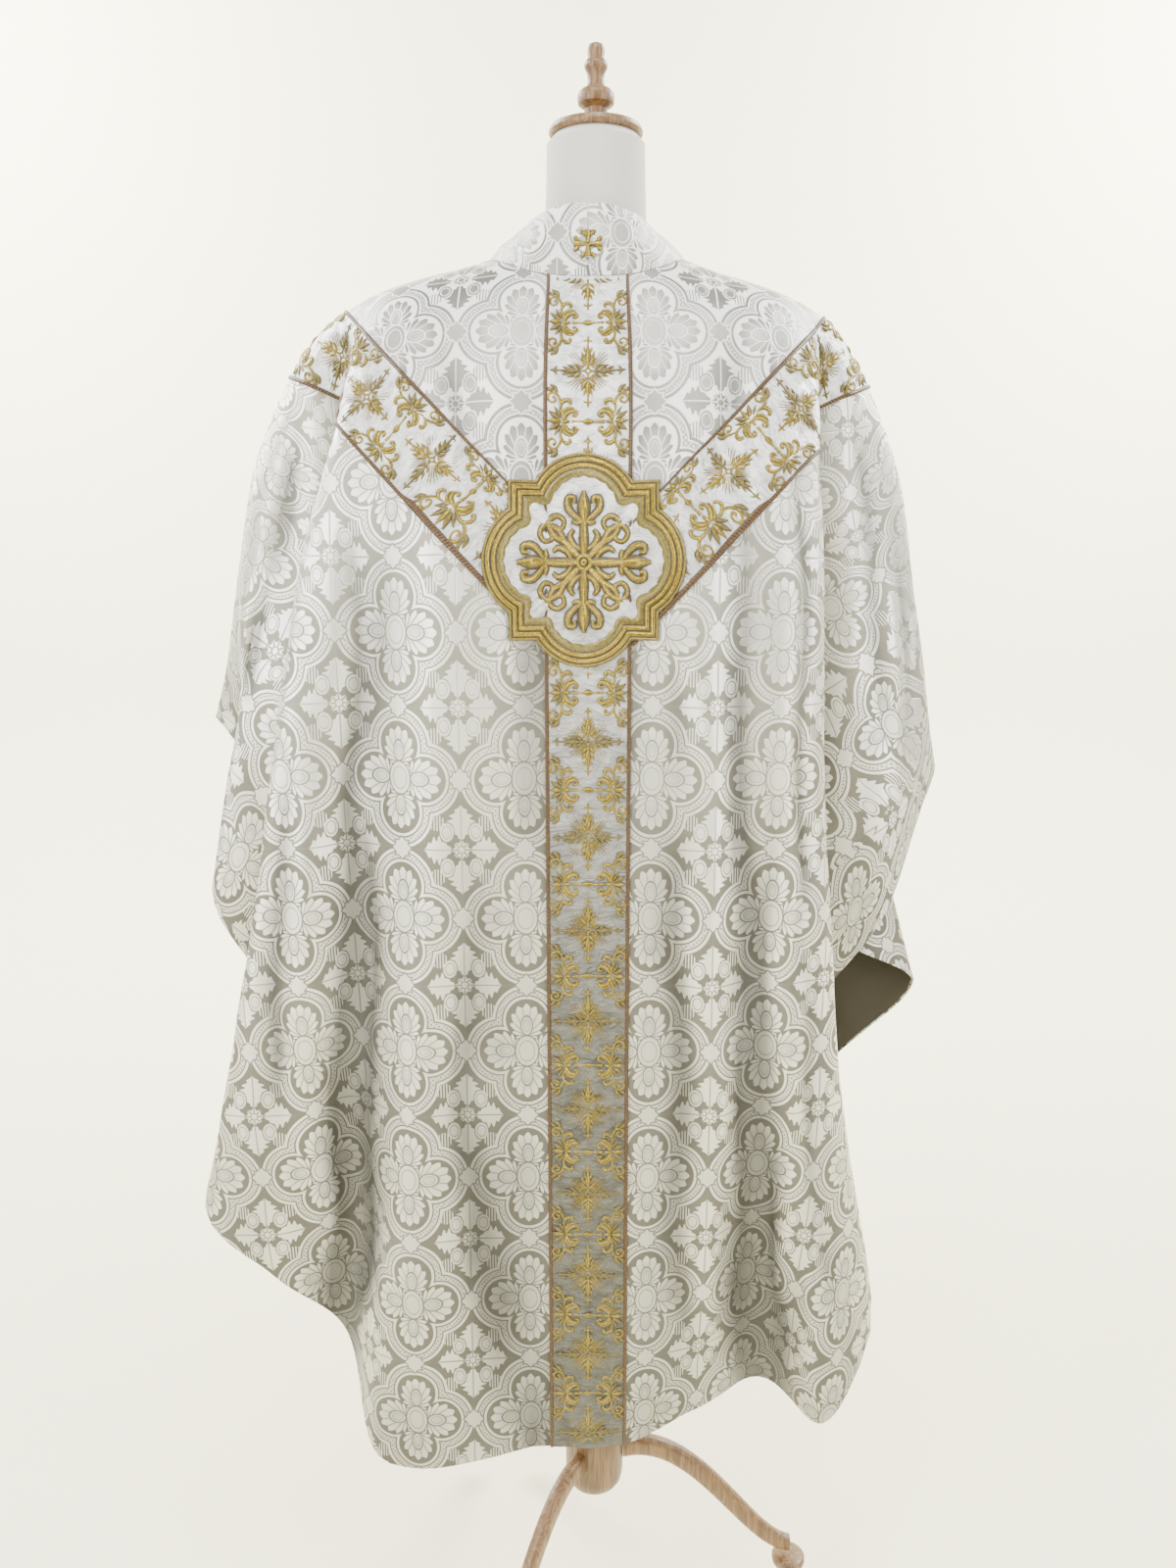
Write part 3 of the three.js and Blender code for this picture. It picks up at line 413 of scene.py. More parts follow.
def make_piece(name, points, faces, material, nodes=(), uv=None, tone=None,
               axis=GARMENT_AXIS, crisp=40):
    """Turns arrays into a mesh object that rides the part: points in metres from an axis, one
    uv pair for each corner and one tone for each point. Edges over crisp degrees stay sharp."""
    mesh = bpy.data.meshes.new(name)
    points = np.asarray(points, float) + axis
    faces = [np.asarray(f) for f in (faces if isinstance(faces, list) else [faces]) if len(f)]
    sizes = np.concatenate([np.full(len(f), f.shape[1]) for f in faces])
    corners = np.concatenate([f.ravel() for f in faces])
    mesh.vertices.add(len(points))
    mesh.vertices.foreach_set("co", points.astype(np.float32).ravel())
    mesh.loops.add(len(corners))
    mesh.loops.foreach_set("vertex_index", corners.astype(np.int32))
    mesh.polygons.add(len(sizes))
    mesh.polygons.foreach_set("loop_start", np.concatenate([[0], np.cumsum(sizes)[:-1]]).astype(np.int32))
    mesh.polygons.foreach_set("use_smooth", np.ones(len(sizes), bool))
    if uv is not None:
        layer = mesh.uv_layers.new(name="weave")
        layer.data.foreach_set("uv", np.asarray(uv, np.float32).reshape(-1, 2).ravel())
    tone = np.full(len(points), 0.5) if tone is None else np.asarray(tone)
    mesh.attributes.new("tone", "FLOAT", "POINT").data.foreach_set("value", tone.astype(np.float32))
    mesh.update(calc_edges=True)
    if mesh.validate():
        raise RuntimeError(f"{name}: the mesh had faults")
    if crisp:
        mesh.set_sharp_from_angle(angle=math.radians(crisp))
    piece = bpy.data.objects.new(name, mesh)
    bpy.context.scene.collection.objects.link(piece)
    mesh.materials.append(material)
    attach(piece, BODY)
    if nodes:
        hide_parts(*nodes)
    return piece


def trim_ends(grid, gap):
    """Moves the first and last column inwards by the gap, so that neighbours stay apart."""
    grid = grid.copy()
    grid[:, 0] += unit(grid[:, 1] - grid[:, 0]) * gap
    grid[:, -1] += unit(grid[:, -2] - grid[:, -1]) * gap
    return grid


def weave_places(points, normals, centre):
    """Where each point lies on the uncut cloth. From the centre column the directions of weft
    and warp are carried outwards, turned only as the surface turns, and each step adds its
    share along both."""
    rows, columns = points.shape[:2]
    steps = length(np.diff(points[:, centre], axis=0))[:, 0]
    place = np.zeros((rows, columns, 2))
    place[1:, centre, 1] = np.cumsum(steps)
    slope = np.gradient(points[:, centre], axis=0)
    for direction in (1, -1):
        warp = unit(slope - normals[:, centre] * np.sum(slope * normals[:, centre], axis=-1, keepdims=True))
        weft = np.cross(normals[:, centre], warp)
        last = columns - 1 if direction > 0 else 0
        for c in range(centre, last, direction):
            n = normals[:, c + direction]
            next_warp = unit(warp - n * np.sum(warp * n, axis=-1, keepdims=True))
            next_weft = np.cross(n, next_warp)
            move = points[:, c + direction] - points[:, c]
            place[:, c + direction, 0] = place[:, c, 0] + np.sum(move * (weft + next_weft), axis=-1) / 2
            place[:, c + direction, 1] = place[:, c, 1] + np.sum(move * (warp + next_warp), axis=-1) / 2
            warp, weft = next_warp, next_weft
    return place


# ---------------------------------------------------------------- node trees

class Term:
    """A value in a shader node tree; arithmetic on it adds Math nodes."""

    def __init__(self, tree, socket):
        self.tree, self.socket = tree, socket

    def op(self, operation, *others, clamp=False):
        node = self.tree.nodes.new("ShaderNodeMath")
        node.operation, node.use_clamp = operation, clamp
        for socket, value in zip(node.inputs, (self, *others)):
            wire(self.tree, value, socket)
        return Term(self.tree, node.outputs[0])

    __add__ = __radd__ = lambda self, other: self.op("ADD", other)
    __mul__ = __rmul__ = lambda self, other: self.op("MULTIPLY", other)
    __sub__ = lambda self, other: self.op("SUBTRACT", other)
    __rsub__ = lambda self, other: self.op("MULTIPLY_ADD", -1.0, other)
    __truediv__ = lambda self, other: self.op("DIVIDE", other)
    __abs__ = lambda self: self.op("ABSOLUTE")
    least = lambda self, other: self.op("MINIMUM", other)
    most = lambda self, other: self.op("MAXIMUM", other)

    def clipped(self):
        return self.least(1.0).most(0.0)

    def inside(self, soft=0.7):
        """1 where the value is below zero and 0 above, over a soft edge."""
        return self.op("MULTIPLY_ADD", -1.0 / soft, 0.5, clamp=True)

    def line(self, half=0.5, soft=0.7):
        """1 within half of zero."""
        return (abs(self) - half).inside(soft)

    def over(self, below):
        """This mask laid over another."""
        return self.most(below)

    def without(self, hole):
        return self * (1.0 - hole)


def wire(tree, value, socket):
    if isinstance(value, Term):
        value = value.socket
    if isinstance(value, bpy.types.NodeSocket):
        tree.links.new(value, socket)
    else:
        socket.default_value = value


def far(x, y):
    """Distance of (x, y) from the origin."""
    return (x * x + y * y).op("SQRT")


def put(tree, kind, inputs=None, **choices):
    """Adds a node with its choices made and its inputs wired or set."""
    node = tree.nodes.new(kind)
    for name, value in choices.items():
        setattr(node, name, value)
    for name, value in (inputs or {}).items():
        wire(tree, value, node.inputs[name])
    return node


def split(tree, vector):
    """The three parts of a vector."""
    return [Term(tree, part) for part in put(tree, "ShaderNodeSeparateXYZ", {"Vector": vector}).outputs]


def stretch(tree, place, factors):
    return put(tree, "ShaderNodeVectorMath", {0: place, 1: factors}, operation="MULTIPLY").outputs[0]


def noise_of(tree, place, scale, detail, **more):
    inputs = {"Vector": place, "Scale": scale, "Detail": detail, **more}
    return Term(tree, put(tree, "ShaderNodeTexNoise", inputs).outputs[0])


def group_tree(name, outputs, **sizes):
    """Empty shader group that takes a Place and the sizes named, each with its usual value.
    Gives back the tree, its inputs as terms and the sockets of its outputs."""
    tree = bpy.data.node_groups.new(name, "ShaderNodeTree")
    sockets = tree.interface
    sockets.new_socket("Place", in_out="INPUT", socket_type="NodeSocketVector")
    for label, usual in sizes.items():
        sockets.new_socket(label, in_out="INPUT", socket_type="NodeSocketFloat").default_value = usual
    for label in outputs:
        sockets.new_socket(label, in_out="OUTPUT", socket_type="NodeSocketFloat")
    given = [Term(tree, socket) for socket in tree.nodes.new("NodeGroupInput").outputs]
    return tree, given, tree.nodes.new("NodeGroupOutput").inputs


def damask_group():
    """Mask of the satin figure, for a place on the cloth in metres. It is drawn in a quarter
    repeat and mirrored: x and y count from a quatrefoil's centre, ax and ay from a rosette's."""
    wide, high = 137.0, 145.0                  # drawn 137 wide and woven 127 mm wide
    tree, (place, *_), result = group_tree("damask figure", ["Figure"])
    u, v, _ = split(tree, place)
    u, v = u * 1079.0, v * 1000.0
    x = (u + wide / 2).op("PINGPONG", wide / 2)
    y = v.op("PINGPONG", high / 2)
    ax, ay = wide / 2 - x, high / 2 - y

    # Four round lobes, then the double outline with a chain between.
    lobes = (far(x - 30.0, y) - 23.5).least(far(x, y - 34.0) - 23.5)
    bands = put(tree, "ShaderNodeValToRGB", {"Fac": (lobes + 2.0) / 20.0})
    stops = ((-2, 0), (-0.2, 0), (0.3, 1), (2.8, 1), (3.2, 0), (4.4, 0), (4.8, 0.8), (10.0, 0.8),
             (10.4, 0), (11.5, 0), (11.9, 1), (14.6, 1), (15.1, 0))
    ramp = bands.color_ramp
    while len(ramp.elements) < len(stops):
        ramp.elements.new(0.5)
    for element, (depth, value) in zip(ramp.elements, stops):
        element.position = (depth + 2) / 20
        element.color = (value, value, value, 1)
    figure = Term(tree, bands.outputs["Color"])
    chain = (0.3 - (x * 1.15).op("SINE") * (y * 1.15).op("SINE")).inside(0.3) * (lobes - 7.3).line(2.0)
    figure = figure.without(chain * 0.8)

    # Leafy flower in each lobe: veins fan out from its base round a bud.
    for across, along in ((y, x - 27.0), (x * 1.14, y - 31.0)):
        out = far(across, along)
        base = along + 14.0
        fan = across.op("ARCTAN2", base)
        leaf = (out - 19.4 - 1.9 * (fan * 18.0).op("COSINE")).inside()
        tips = (out * 0.055).least(1.0) * 0.4 + 0.6
        bud = (far(across / 7.4, (along + 3.0) / 10.8) - 1.0) * 9.0
        vein = ((fan * 9.0).op("COSINE") * far(across, base)).line(6.0, 4.0) * (1.0 - bud).inside(2.0)
        edge = bud.line(0.85).most((bud + 3.6).line(0.5) * 0.6)
        figure = (leaf * tips).without((vein * 0.75).over(edge)).over(figure)

    # Pointed oval at the quatrefoil's centre.
    oval = (far(x / 13.0, y / 17.0) - 1.0) * 15.0
    ring = (oval + 5.0).line(0.6)
    figure = figure.without(oval.inside()).over((oval.inside() * 0.82).without(ring * 0.7))
    figure = figure.without(oval.line(0.7))

    # Eight-pointed stars join neighbouring quatrefoils.
    def star(a, b):
        return (a.most(b) - 7.4).least((a + b) * 0.7071 - 8.2)
    stars = star(ax, y).least(star(x, ay))
    figure = figure.without((stars - 1.3).inside()).over(stars.inside() * 0.88)

    # Rosette with four oak leaves, diagonal buds and tufts in the space between.
    out = far(ax, ay)
    turn = ay.op("ARCTAN2", ax)
    petals = (out - 8.8 - 1.3 * (turn * 8.0).op("COSINE")).inside()
    rays = ((turn * 4.0).op("SINE") * out).line(2.4, 2.0) * (4.0 - out).inside(1.0)
    space = petals.without((out - 3.7).line(0.5).over(rays))
    for along, across, reach in ((ay, ax, 37.0), (ax, ay, 31.0)):
        share = ((along - 10.0) / reach).clipped()
        half = (share * math.pi).op("SINE") * (12.4 + 3.0 * (along * 1.05).op("COSINE"))
        space = (across - half).inside().without(across.line(0.7) * 0.8).over(space)
    bud = (far((ax - 15.6) / 7.4, (ay - 18.5) / 9.6) - 1.0) * 8.0
    space = space.without((bud - 1.2).inside()).over((bud.inside() * 0.9).without((bud + 2.6).line(0.4)))
    blades = (0.2 - (ax * 2.0).op("SINE")).inside(0.4)
    tuft = (far(ax - 26.5, ay - 28.5) - 8.6).inside() * blades
    space = tuft.over(space) * (15.3 - lobes).inside()
    wire(tree, space.over(figure), result[0])
    return tree


def thread_group():
    """Fine crossing threads: two sine waves at right angles, broken by noise."""
    tree, (place, pitch, *_), result = group_tree("woven threads", ["Height"], Pitch=0.0006)
    turns = pitch.op("POWER", -1.0) * (2 * math.pi)
    across, along = ((part * turns).op("SINE") for part in split(tree, place)[:2])
    wire(tree, across * along * 0.25 + noise_of(tree, place, 900.0, 3.0, Roughness=0.6), result[0])
    return tree


def crinkle_group():
    """Small puckers of satin between stitches: stretched noise, folded into sharp ridges."""
    tree, (place, size, *_), result = group_tree("satin puckers", ["Height"], Size=0.012)
    noise = noise_of(tree, stretch(tree, place, (0.55, 1.0, 1.0)), size.op("POWER", -1.0), 2.5,
                     Roughness=0.5, Distortion=0.9)
    folded = abs(noise - 0.5) * 2.0
    wire(tree, 1.0 - folded.op("POWER", 0.7), result[0])
    return tree


def stitch_group():
    """Satin stitches laid side by side: a wave along the stroke, uneven by noise."""
    tree, (place, pitch, *_), result = group_tree("laid stitches", ["Height", "Gleam"], Pitch=0.0007)
    turns = pitch.op("POWER", -1.0) * (2 * math.pi)
    along, across, _ = split(tree, place)
    noise = noise_of(tree, place, 420.0, 2.0)
    wave = ((along + across * 0.6) * turns + noise * 3.0).op("SINE")
    wire(tree, wave * 0.5 + 0.5, result[0])
    wire(tree, noise, result[1])
    return tree


def grain_group():
    """Growth rings round the turning axis, long fibres and pores along it."""
    tree, (place, *_), result = group_tree("oak grain", ["Rings", "Pores"])
    fibres = stretch(tree, place, (1.0, 1.0, 0.06))
    wire(tree, (noise_of(tree, fibres, 60.0, 4.0, Distortion=1.2) * 40.0).op("SINE") * 0.5 + 0.5, result[0])
    wire(tree, (noise_of(tree, fibres, 900.0, 2.0) - 0.42) * 4.0, result[1])
    return tree


GROUPS = {}                          # by the function that builds them


def effect(tree, build, **inputs):
    """Places a shared node group in a material and returns its outputs as terms."""
    if build not in GROUPS:
        GROUPS[build] = build()
    node = put(tree, "ShaderNodeGroup", node_tree=GROUPS[build])
    for name, value in inputs.items():
        wire(tree, value, node.inputs[name.capitalize()])
    return {socket.name: Term(tree, socket) for socket in node.outputs}


def new_material(name, **constants):
    """Material with one Principled shader. What is the same all over is set on its sockets."""
    material = bpy.data.materials.new(name)
    material.use_nodes = True
    tree = material.node_tree
    shader = tree.nodes["Principled BSDF"]
    for label, value in constants.items():
        shader.inputs[label.replace("_", " ")].default_value = value
    return material, tree, shader


def uv_place(tree):
    return put(tree, "ShaderNodeUVMap", uv_map="weave").outputs[0]


def tone_of(tree):
    return Term(tree, put(tree, "ShaderNodeAttribute", attribute_name="tone").outputs["Fac"])


def object_place(tree):
    return put(tree, "ShaderNodeTexCoord").outputs["Object"]


def blend_colour(tree, share, low, high):
    node = put(tree, "ShaderNodeMix", data_type="RGBA")
    wire(tree, share, node.inputs[0])
    for value, index in ((low, 6), (high, 7)):
        is_wired = isinstance(value, (Term, bpy.types.NodeSocket))
        wire(tree, value if is_wired else (*value, 1.0), node.inputs[index])
    return node.outputs[2]


def feed(tree, shader, **values):
    """Wires values to the shader's inputs of those names."""
    for name, value in values.items():
        wire(tree, value, shader.inputs[name.replace("_", " ")])


def scaled(tree, colour, shade):
    """The colour times the shade."""
    return put(tree, "ShaderNodeVectorMath", {0: colour, "Scale": shade}, operation="SCALE").outputs[0]


def bump(tree, shader, height, distance, strength=1.0):
    node = put(tree, "ShaderNodeBump", {"Height": height, "Distance": distance, "Strength": strength})
    wire(tree, node.outputs[0], shader.inputs["Normal"])


def height_share(tree, low, high):
    """0 below one height on the part and 1 above another."""
    return ((split(tree, object_place(tree))[2] - low) / (high - low)).clipped()


def yoke_share(tree):
    """1 on the yoke above the slanting arms of the orphrey, back and front, and 0 below."""
    x, y, z = split(tree, object_place(tree))
    out = abs(x - float(GARMENT_AXIS[0])) - STRIP_SIDE * MM
    is_front = (y * 40.0).clipped()
    back, front = (out * plan["slope"] + (plan["top"] - plan["drop"] / 2) * MM
                   for plan in (BACK_ARM, FRONT_ARM))
    line = back * (1.0 - is_front) + front * is_front
    return ((z - line) / 0.03 + 0.5).clipped()


def mild_variation(tree, place, scale=9.0):
    return noise_of(tree, place, scale, 3.0)


# Colours where the share of the mix is 0 and 1: ground and figure for the damask.
# The upper and yoke damask colours are painted sheen: lit copies of the damask near the shoulders.
UPPER_DAMASK_SHEEN = (0.30, 0.287, 0.23), (0.82, 0.805, 0.74)
YOKE_DAMASK_SHEEN = (0.88, 0.87, 0.83), (0.25, 0.243, 0.208)
CORD_COLOURS = (0.026, 0.011, 0.003), (0.155, 0.080, 0.018)
COTTON_COLOURS = (0.52, 0.50, 0.45), (0.66, 0.645, 0.59)
OAK_COLOURS = (0.10, 0.048, 0.014), (0.25, 0.135, 0.046)
PAPER_COLOURS = (0.90, 0.86, 0.63), (0.92, 0.88, 0.655)
SATIN_SHEEN_AT_TOP = (0.82, 0.82, 0.80)
# Gold shares: dark is painted shade at edges and in grooves, bright is a painted highlight on crests.
GOLD_SHARES = (0.20, 0.16, 0.15), (1.1, 1.35, 4.5), (2.05, 2.15, 3.0)      # dark, lame, bright


def threads_of(tree, place, pitch):
    return effect(tree, thread_group, place=place, pitch=pitch)["Height"]


def damask_material():
    chosen = settings()
    material, tree, shader = new_material(
        "silver damask", Sheen_Weight=0.06, Sheen_Roughness=0.4, Specular_IOR_Level=0.5)
    place = uv_place(tree)
    figure = effect(tree, damask_group, place=place)["Figure"]
    threads = threads_of(tree, place, 0.0008)
    # Painted sheen: higher up the damask takes lighter painted colours, broken into patches by noise.
    # On the yoke the ground is painted gleaming and the figure grey, as the satin turns from the light.
    low = blend_colour(tree, figure, chosen.ground_colour, chosen.figure_colour)
    upper = blend_colour(tree, figure, *UPPER_DAMASK_SHEEN)
    yoke = blend_colour(tree, figure, *YOKE_DAMASK_SHEEN)
    sheen_patches = (mild_variation(tree, object_place(tree), 7.0) - 0.5) * 1.6
    sheen_share = (height_share(tree, 0.98, 1.34) + sheen_patches).clipped()
    colour = blend_colour(tree, yoke_share(tree), blend_colour(tree, sheen_share, low, upper), yoke)
    # Painted shade darkens the folds' troughs and painted light brightens their crests.
    tone = tone_of(tree)
    folds = (tone * 1.35 + 0.32).least(tone * 0.5 + 0.75)
    # Painted shade: darker towards the bottom, where the light falls off; noise and threads add uneven
    # weave.
    shade = mild_variation(tree, place) * 0.2 + threads * 0.5 + height_share(tree, 0.3, 1.1) * 0.56 + 0.14
    feed(tree, shader, Base_Color=scaled(tree, colour, shade * folds), Roughness=0.50 - figure * 0.14,
         Metallic=figure * 0.55 + 0.1)
    bump(tree, shader, figure + threads * 0.35, 0.0005, 0.8)
    return material


def lining_material():
    material, tree, shader = new_material(
        "olive lining", Sheen_Weight=0.15, Specular_IOR_Level=0.3, Roughness=0.7)
    place = uv_place(tree)
    threads = threads_of(tree, place, 0.0007)
    base = settings().lining_colour
    lighter = tuple(min(1.0, c * 1.5) for c in base)
    share = mild_variation(tree, place) * 0.6 + threads * 0.3
    feed(tree, shader, Base_Color=blend_colour(tree, share, base, lighter))
    bump(tree, shader, threads, 0.0002, 0.6)
    return material


def satin_material():
    material, tree, shader = new_material("white satin", Metallic=0.4, Specular_IOR_Level=0.55)
    place = uv_place(tree)
    pucker = effect(tree, crinkle_group, place=place, size=0.011)["Height"]
    threads = threads_of(tree, place, 0.0006)
    # Painted sheen: the satin is painted lighter towards the top and darker below.
    rise = height_share(tree, 0.45, 1.38).op("POWER", 3.0)
    base = blend_colour(tree, rise, settings().satin_colour, SATIN_SHEEN_AT_TOP)
    # Painted shade in the puckers' creases and hollows, from the crinkle noise and the tone attribute.
    shade = pucker * 0.85 + mild_variation(tree, place, 30.0) * 0.2 + tone_of(tree) * 0.5 + 0.15
    feed(tree, shader, Base_Color=scaled(tree, base, shade), Roughness=0.32 + threads * 0.12)
    bump(tree, shader, pucker + threads * 0.08, 0.0044, 1.0)
    return material


def gold_material():
    """Gold thread: the tone attribute runs from dark edge, 0, over lame, 0.5, to bright satin stitch, 1.
    The dark edges are painted shade at the foot of the strokes and in the frame's grooves, and the bright
    end is a painted highlight on their crests."""
    material, tree, shader = new_material("gold thread", Specular_IOR_Level=0.6, Sheen_Weight=0.1)
    stitches = effect(tree, stitch_group, place=uv_place(tree), pitch=0.0008)
    tone = tone_of(tree)
    dark, lame, bright = (tuple(np.multiply(settings().gold_colour, share)) for share in GOLD_SHARES)
    first = blend_colour(tree, (tone * 2.0).least(1.0), dark, lame)
    full = blend_colour(tree, (tone * 2.0 - 1.0).most(0.0), first, bright)
    # Painted shade between the stitches and painted glints from the Gleam noise.
    shade = stitches["Height"] * 0.3 + (stitches["Gleam"] - 0.5) * 2.0 + 0.72
    feed(tree, shader, Base_Color=scaled(tree, full, shade), Roughness=0.36 - tone * 0.13,
         Metallic=tone * 0.85)
    bump(tree, shader, stitches["Height"], 0.00025, 0.6)
    return material


def cord_material():
    """Twisted cord: slanting strands of brown and gold, with glitter."""
    material, tree, shader = new_material("edge cord", Specular_IOR_Level=0.6)
    place = uv_place(tree)
    along, across, _ = split(tree, place)
    strand = (along * 1900.0 + across * 1100.0).op("SINE") * 0.5 + 0.5
    glitter = put(tree, "ShaderNodeTexVoronoi", {"Vector": place, "Scale": 900.0})
    spark = (Term(tree, glitter.outputs["Color"]) - 0.62) * 5.0
    share = strand * 0.55 + spark.clipped() * 0.5
    feed(tree, shader, Base_Color=blend_colour(tree, share, *CORD_COLOURS), Metallic=share * 0.6,
         Roughness=0.5 - share * 0.15)
    bump(tree, shader, strand, 0.0005, 0.8)
    return material


def cover_material():
    material, tree, shader = new_material(
        "cotton cover", Sheen_Weight=0.2, Specular_IOR_Level=0.3, Roughness=0.85)
    place = object_place(tree)
    threads = threads_of(tree, place, 0.0011)
    share = mild_variation(tree, place, 14.0) * 0.6 + threads * 0.4
    feed(tree, shader, Base_Color=blend_colour(tree, share, *COTTON_COLOURS))
    bump(tree, shader, threads, 0.0004, 0.5)
    return material


def oak_material():
    material, tree, shader = new_material(
        "light oak", Specular_IOR_Level=0.5, Coat_Roughness=0.3, Coat_Weight=0.25)
    grain = effect(tree, grain_group, place=object_place(tree))
    rings, pores = grain["Rings"], grain["Pores"]
    share = rings * 0.7 + pores.clipped() * 0.3
    feed(tree, shader, Base_Color=blend_colour(tree, share, *OAK_COLOURS), Roughness=0.55 - rings * 0.1)
    bump(tree, shader, pores + rings * 0.3, 0.0003, 0.4)
    return material


def backdrop_material():
    material, tree, shader = new_material("pale studio paper", Roughness=0.95, Specular_IOR_Level=0.1)
    share = mild_variation(tree, object_place(tree), 1.5)
    feed(tree, shader, Base_Color=blend_colour(tree, share, *PAPER_COLOURS))
    return material


MATERIALS = {}                       # by the function that builds them


def finish_of(build):
    if build not in MATERIALS:
        MATERIALS[build] = build()
    return MATERIALS[build]


# ---------------------------------------------------------------- panels and linings

COLUMNS_PER_SPAN = 10
ROWS_BETWEEN = (11, 18, 40, 45, 43)          # rows of cells between two stations
SEAM_GAP = 0.3 * MM
DAMASK_HALF = 0.75 * MM
LINING_HEIGHTS = (-2.15 * MM, -3.15 * MM)
LINING_COLUMNS = 6
LINING_ROWS = (7, 11, 24, 27, 26)
LINING_SHORT = 0.018                         # stations that it ends short of the hem
WEAVE_START = -58 * MM                       # shifts the pattern down the centre back
SLEEVE_TURN = math.radians(32)               # the weave lies aslant on the sleeves
SLEEVE_FROM = 1.35                           # station below which it does so,
SLEEVE_SPANS = 6                             # and fold lines from the centre beyond which it does


def station_rows(counts):
    rows = [np.arange(count) / count + k for k, count in enumerate(counts)]
    return np.append(np.concatenate(rows), STATIONS - 1.0)


def panel_grid(first, last, columns_per_span, counts):
    around = np.linspace(first, last, (last - first) * columns_per_span + 1)
    return np.meshgrid(around, station_rows(counts))


def corner_places(place, faces):
    """UV of each face corner of a shell, the same on both its skins."""
    return place.reshape(-1, 2)[faces % (place.size // 2)]


def fold_shade_tone(points, normals):
    """Tone for painted shade on the folds: 0.5 where the cloth is flat, less in a trough, which is painted
    darker, and more on a crest, which is painted lighter: the height of each point over the middle of two
    points about 35 mm to either side."""
    last = points.shape[1] - 1
    column = np.arange(last + 1)
    middle_point = sum(points[:, np.clip(column + k, 0, last)] for k in (-4, -3, -2, 2, 3, 4)) / 6
    return np.clip(0.5 + np.sum((points - middle_point) * normals, axis=-1) / (8 * MM), 0, 1)


def cloth_panel(name, first, last, node):
    """Damask panel between two shoulder ridges, a closed shell with the weave laid over it."""
    around, station = panel_grid(first, last, COLUMNS_PER_SPAN, ROWS_BETWEEN)
    outer, inner = (trim_ends(draped(around, station, h), SEAM_GAP) for h in (DAMASK_HALF, -DAMASK_HALF))
    normals = cloth_normal(around, station)
    centre = around.shape[1] // 2
    place = weave_places(outer, normals, centre)
    place[..., 1] += WEAVE_START
    turn = SLEEVE_TURN * np.sign(around - around[0, centre])
    u, v = place[..., 0], place[..., 1]
    turned = np.stack([u * np.cos(turn) - v * np.sin(turn), u * np.sin(turn) + v * np.cos(turn)], axis=-1)
    points, faces = shell(outer, inner)
    middle_of = lambda grid: grid.reshape(-1)[faces % grid.size].mean(axis=1)
    off_centre = np.abs(middle_of(around) - around[0, centre])
    is_sleeve = (off_centre > SLEEVE_SPANS) & (middle_of(station) > SLEEVE_FROM)
    uv = np.where(is_sleeve[:, None, None], corner_places(turned, faces), corner_places(place, faces))
    return make_piece(name, points, faces, finish_of(damask_material), [node], uv,
                      np.tile(fold_shade_tone(outer, normals).ravel(), 2))


def cloth_lining(name, first, last, node):
    """Lining a little inside the damask, ending short of its edge."""
    around, station = panel_grid(first, last, LINING_COLUMNS, LINING_ROWS)
    station = np.minimum(station, STATIONS - 1 - LINING_SHORT)
    outer, inner = (trim_ends(draped(around, station, h), SEAM_GAP) for h in LINING_HEIGHTS)
    points, faces = shell(outer, inner)
    place = weave_places(outer, cloth_normal(around, station), around.shape[1] // 2)
    return make_piece(name, points, faces, finish_of(lining_material), [node],
                      corner_places(place, faces))


# ---------------------------------------------------------------- strips of the orphrey

STRIP_HEIGHTS = (2.05 * MM, 1.05 * MM)
STRIP_STEP = 3.4 * MM
ARM_ENDS = {                                  # lower edge on the sleeve: crest x, foot on the ridge
    ("back", 1): (231, 293, 1454), ("back", -1): (247, 308, 1462),
    ("front", 1): (245, 293, 1454), ("front", -1): (245, 308, 1462),
}
ARM_RISE = 26                                 # the edge's rise from the crest to the ridge
SATIN_HALF = 42.5                             # half width that the puckers fade out at


class Strip:
    """A strip on the cloth: p runs along it and q across, in metres. facing is 1 where
    p x q points outwards and -1 where it points inwards."""

    def __init__(self):
        self.half = settings().strip_width / 2

    def place(self, p, q, height):
        return draped(*self.locate(p, q), height)


class Column(Strip):
    """Strip down the centre; p runs down from the neck seam."""

    def __init__(self, centre):
        super().__init__()
        self.centre, self.facing = centre, 1
        self.stations = np.linspace(0, STATIONS - 1, 400)
        line = cloth(np.full(400, float(centre)), self.stations)
        self.down = np.append(0, np.cumsum(length(np.diff(line, axis=0))))
        self.heights = line[:, 2]
        self.start, self.end = 0.0008, self.down[-1]

    def level(self, z):
        """p at a height above the floor."""
        return float(np.interp(-z, -self.heights, self.down))

    def locate(self, p, q):
        return self.centre + q / self.half, np.interp(p, self.down, self.stations)

    def limits(self, q):
        """First and last p that lie on the cloth at a given q."""
        return np.full(np.shape(q), self.start), np.full(np.shape(q), self.end)


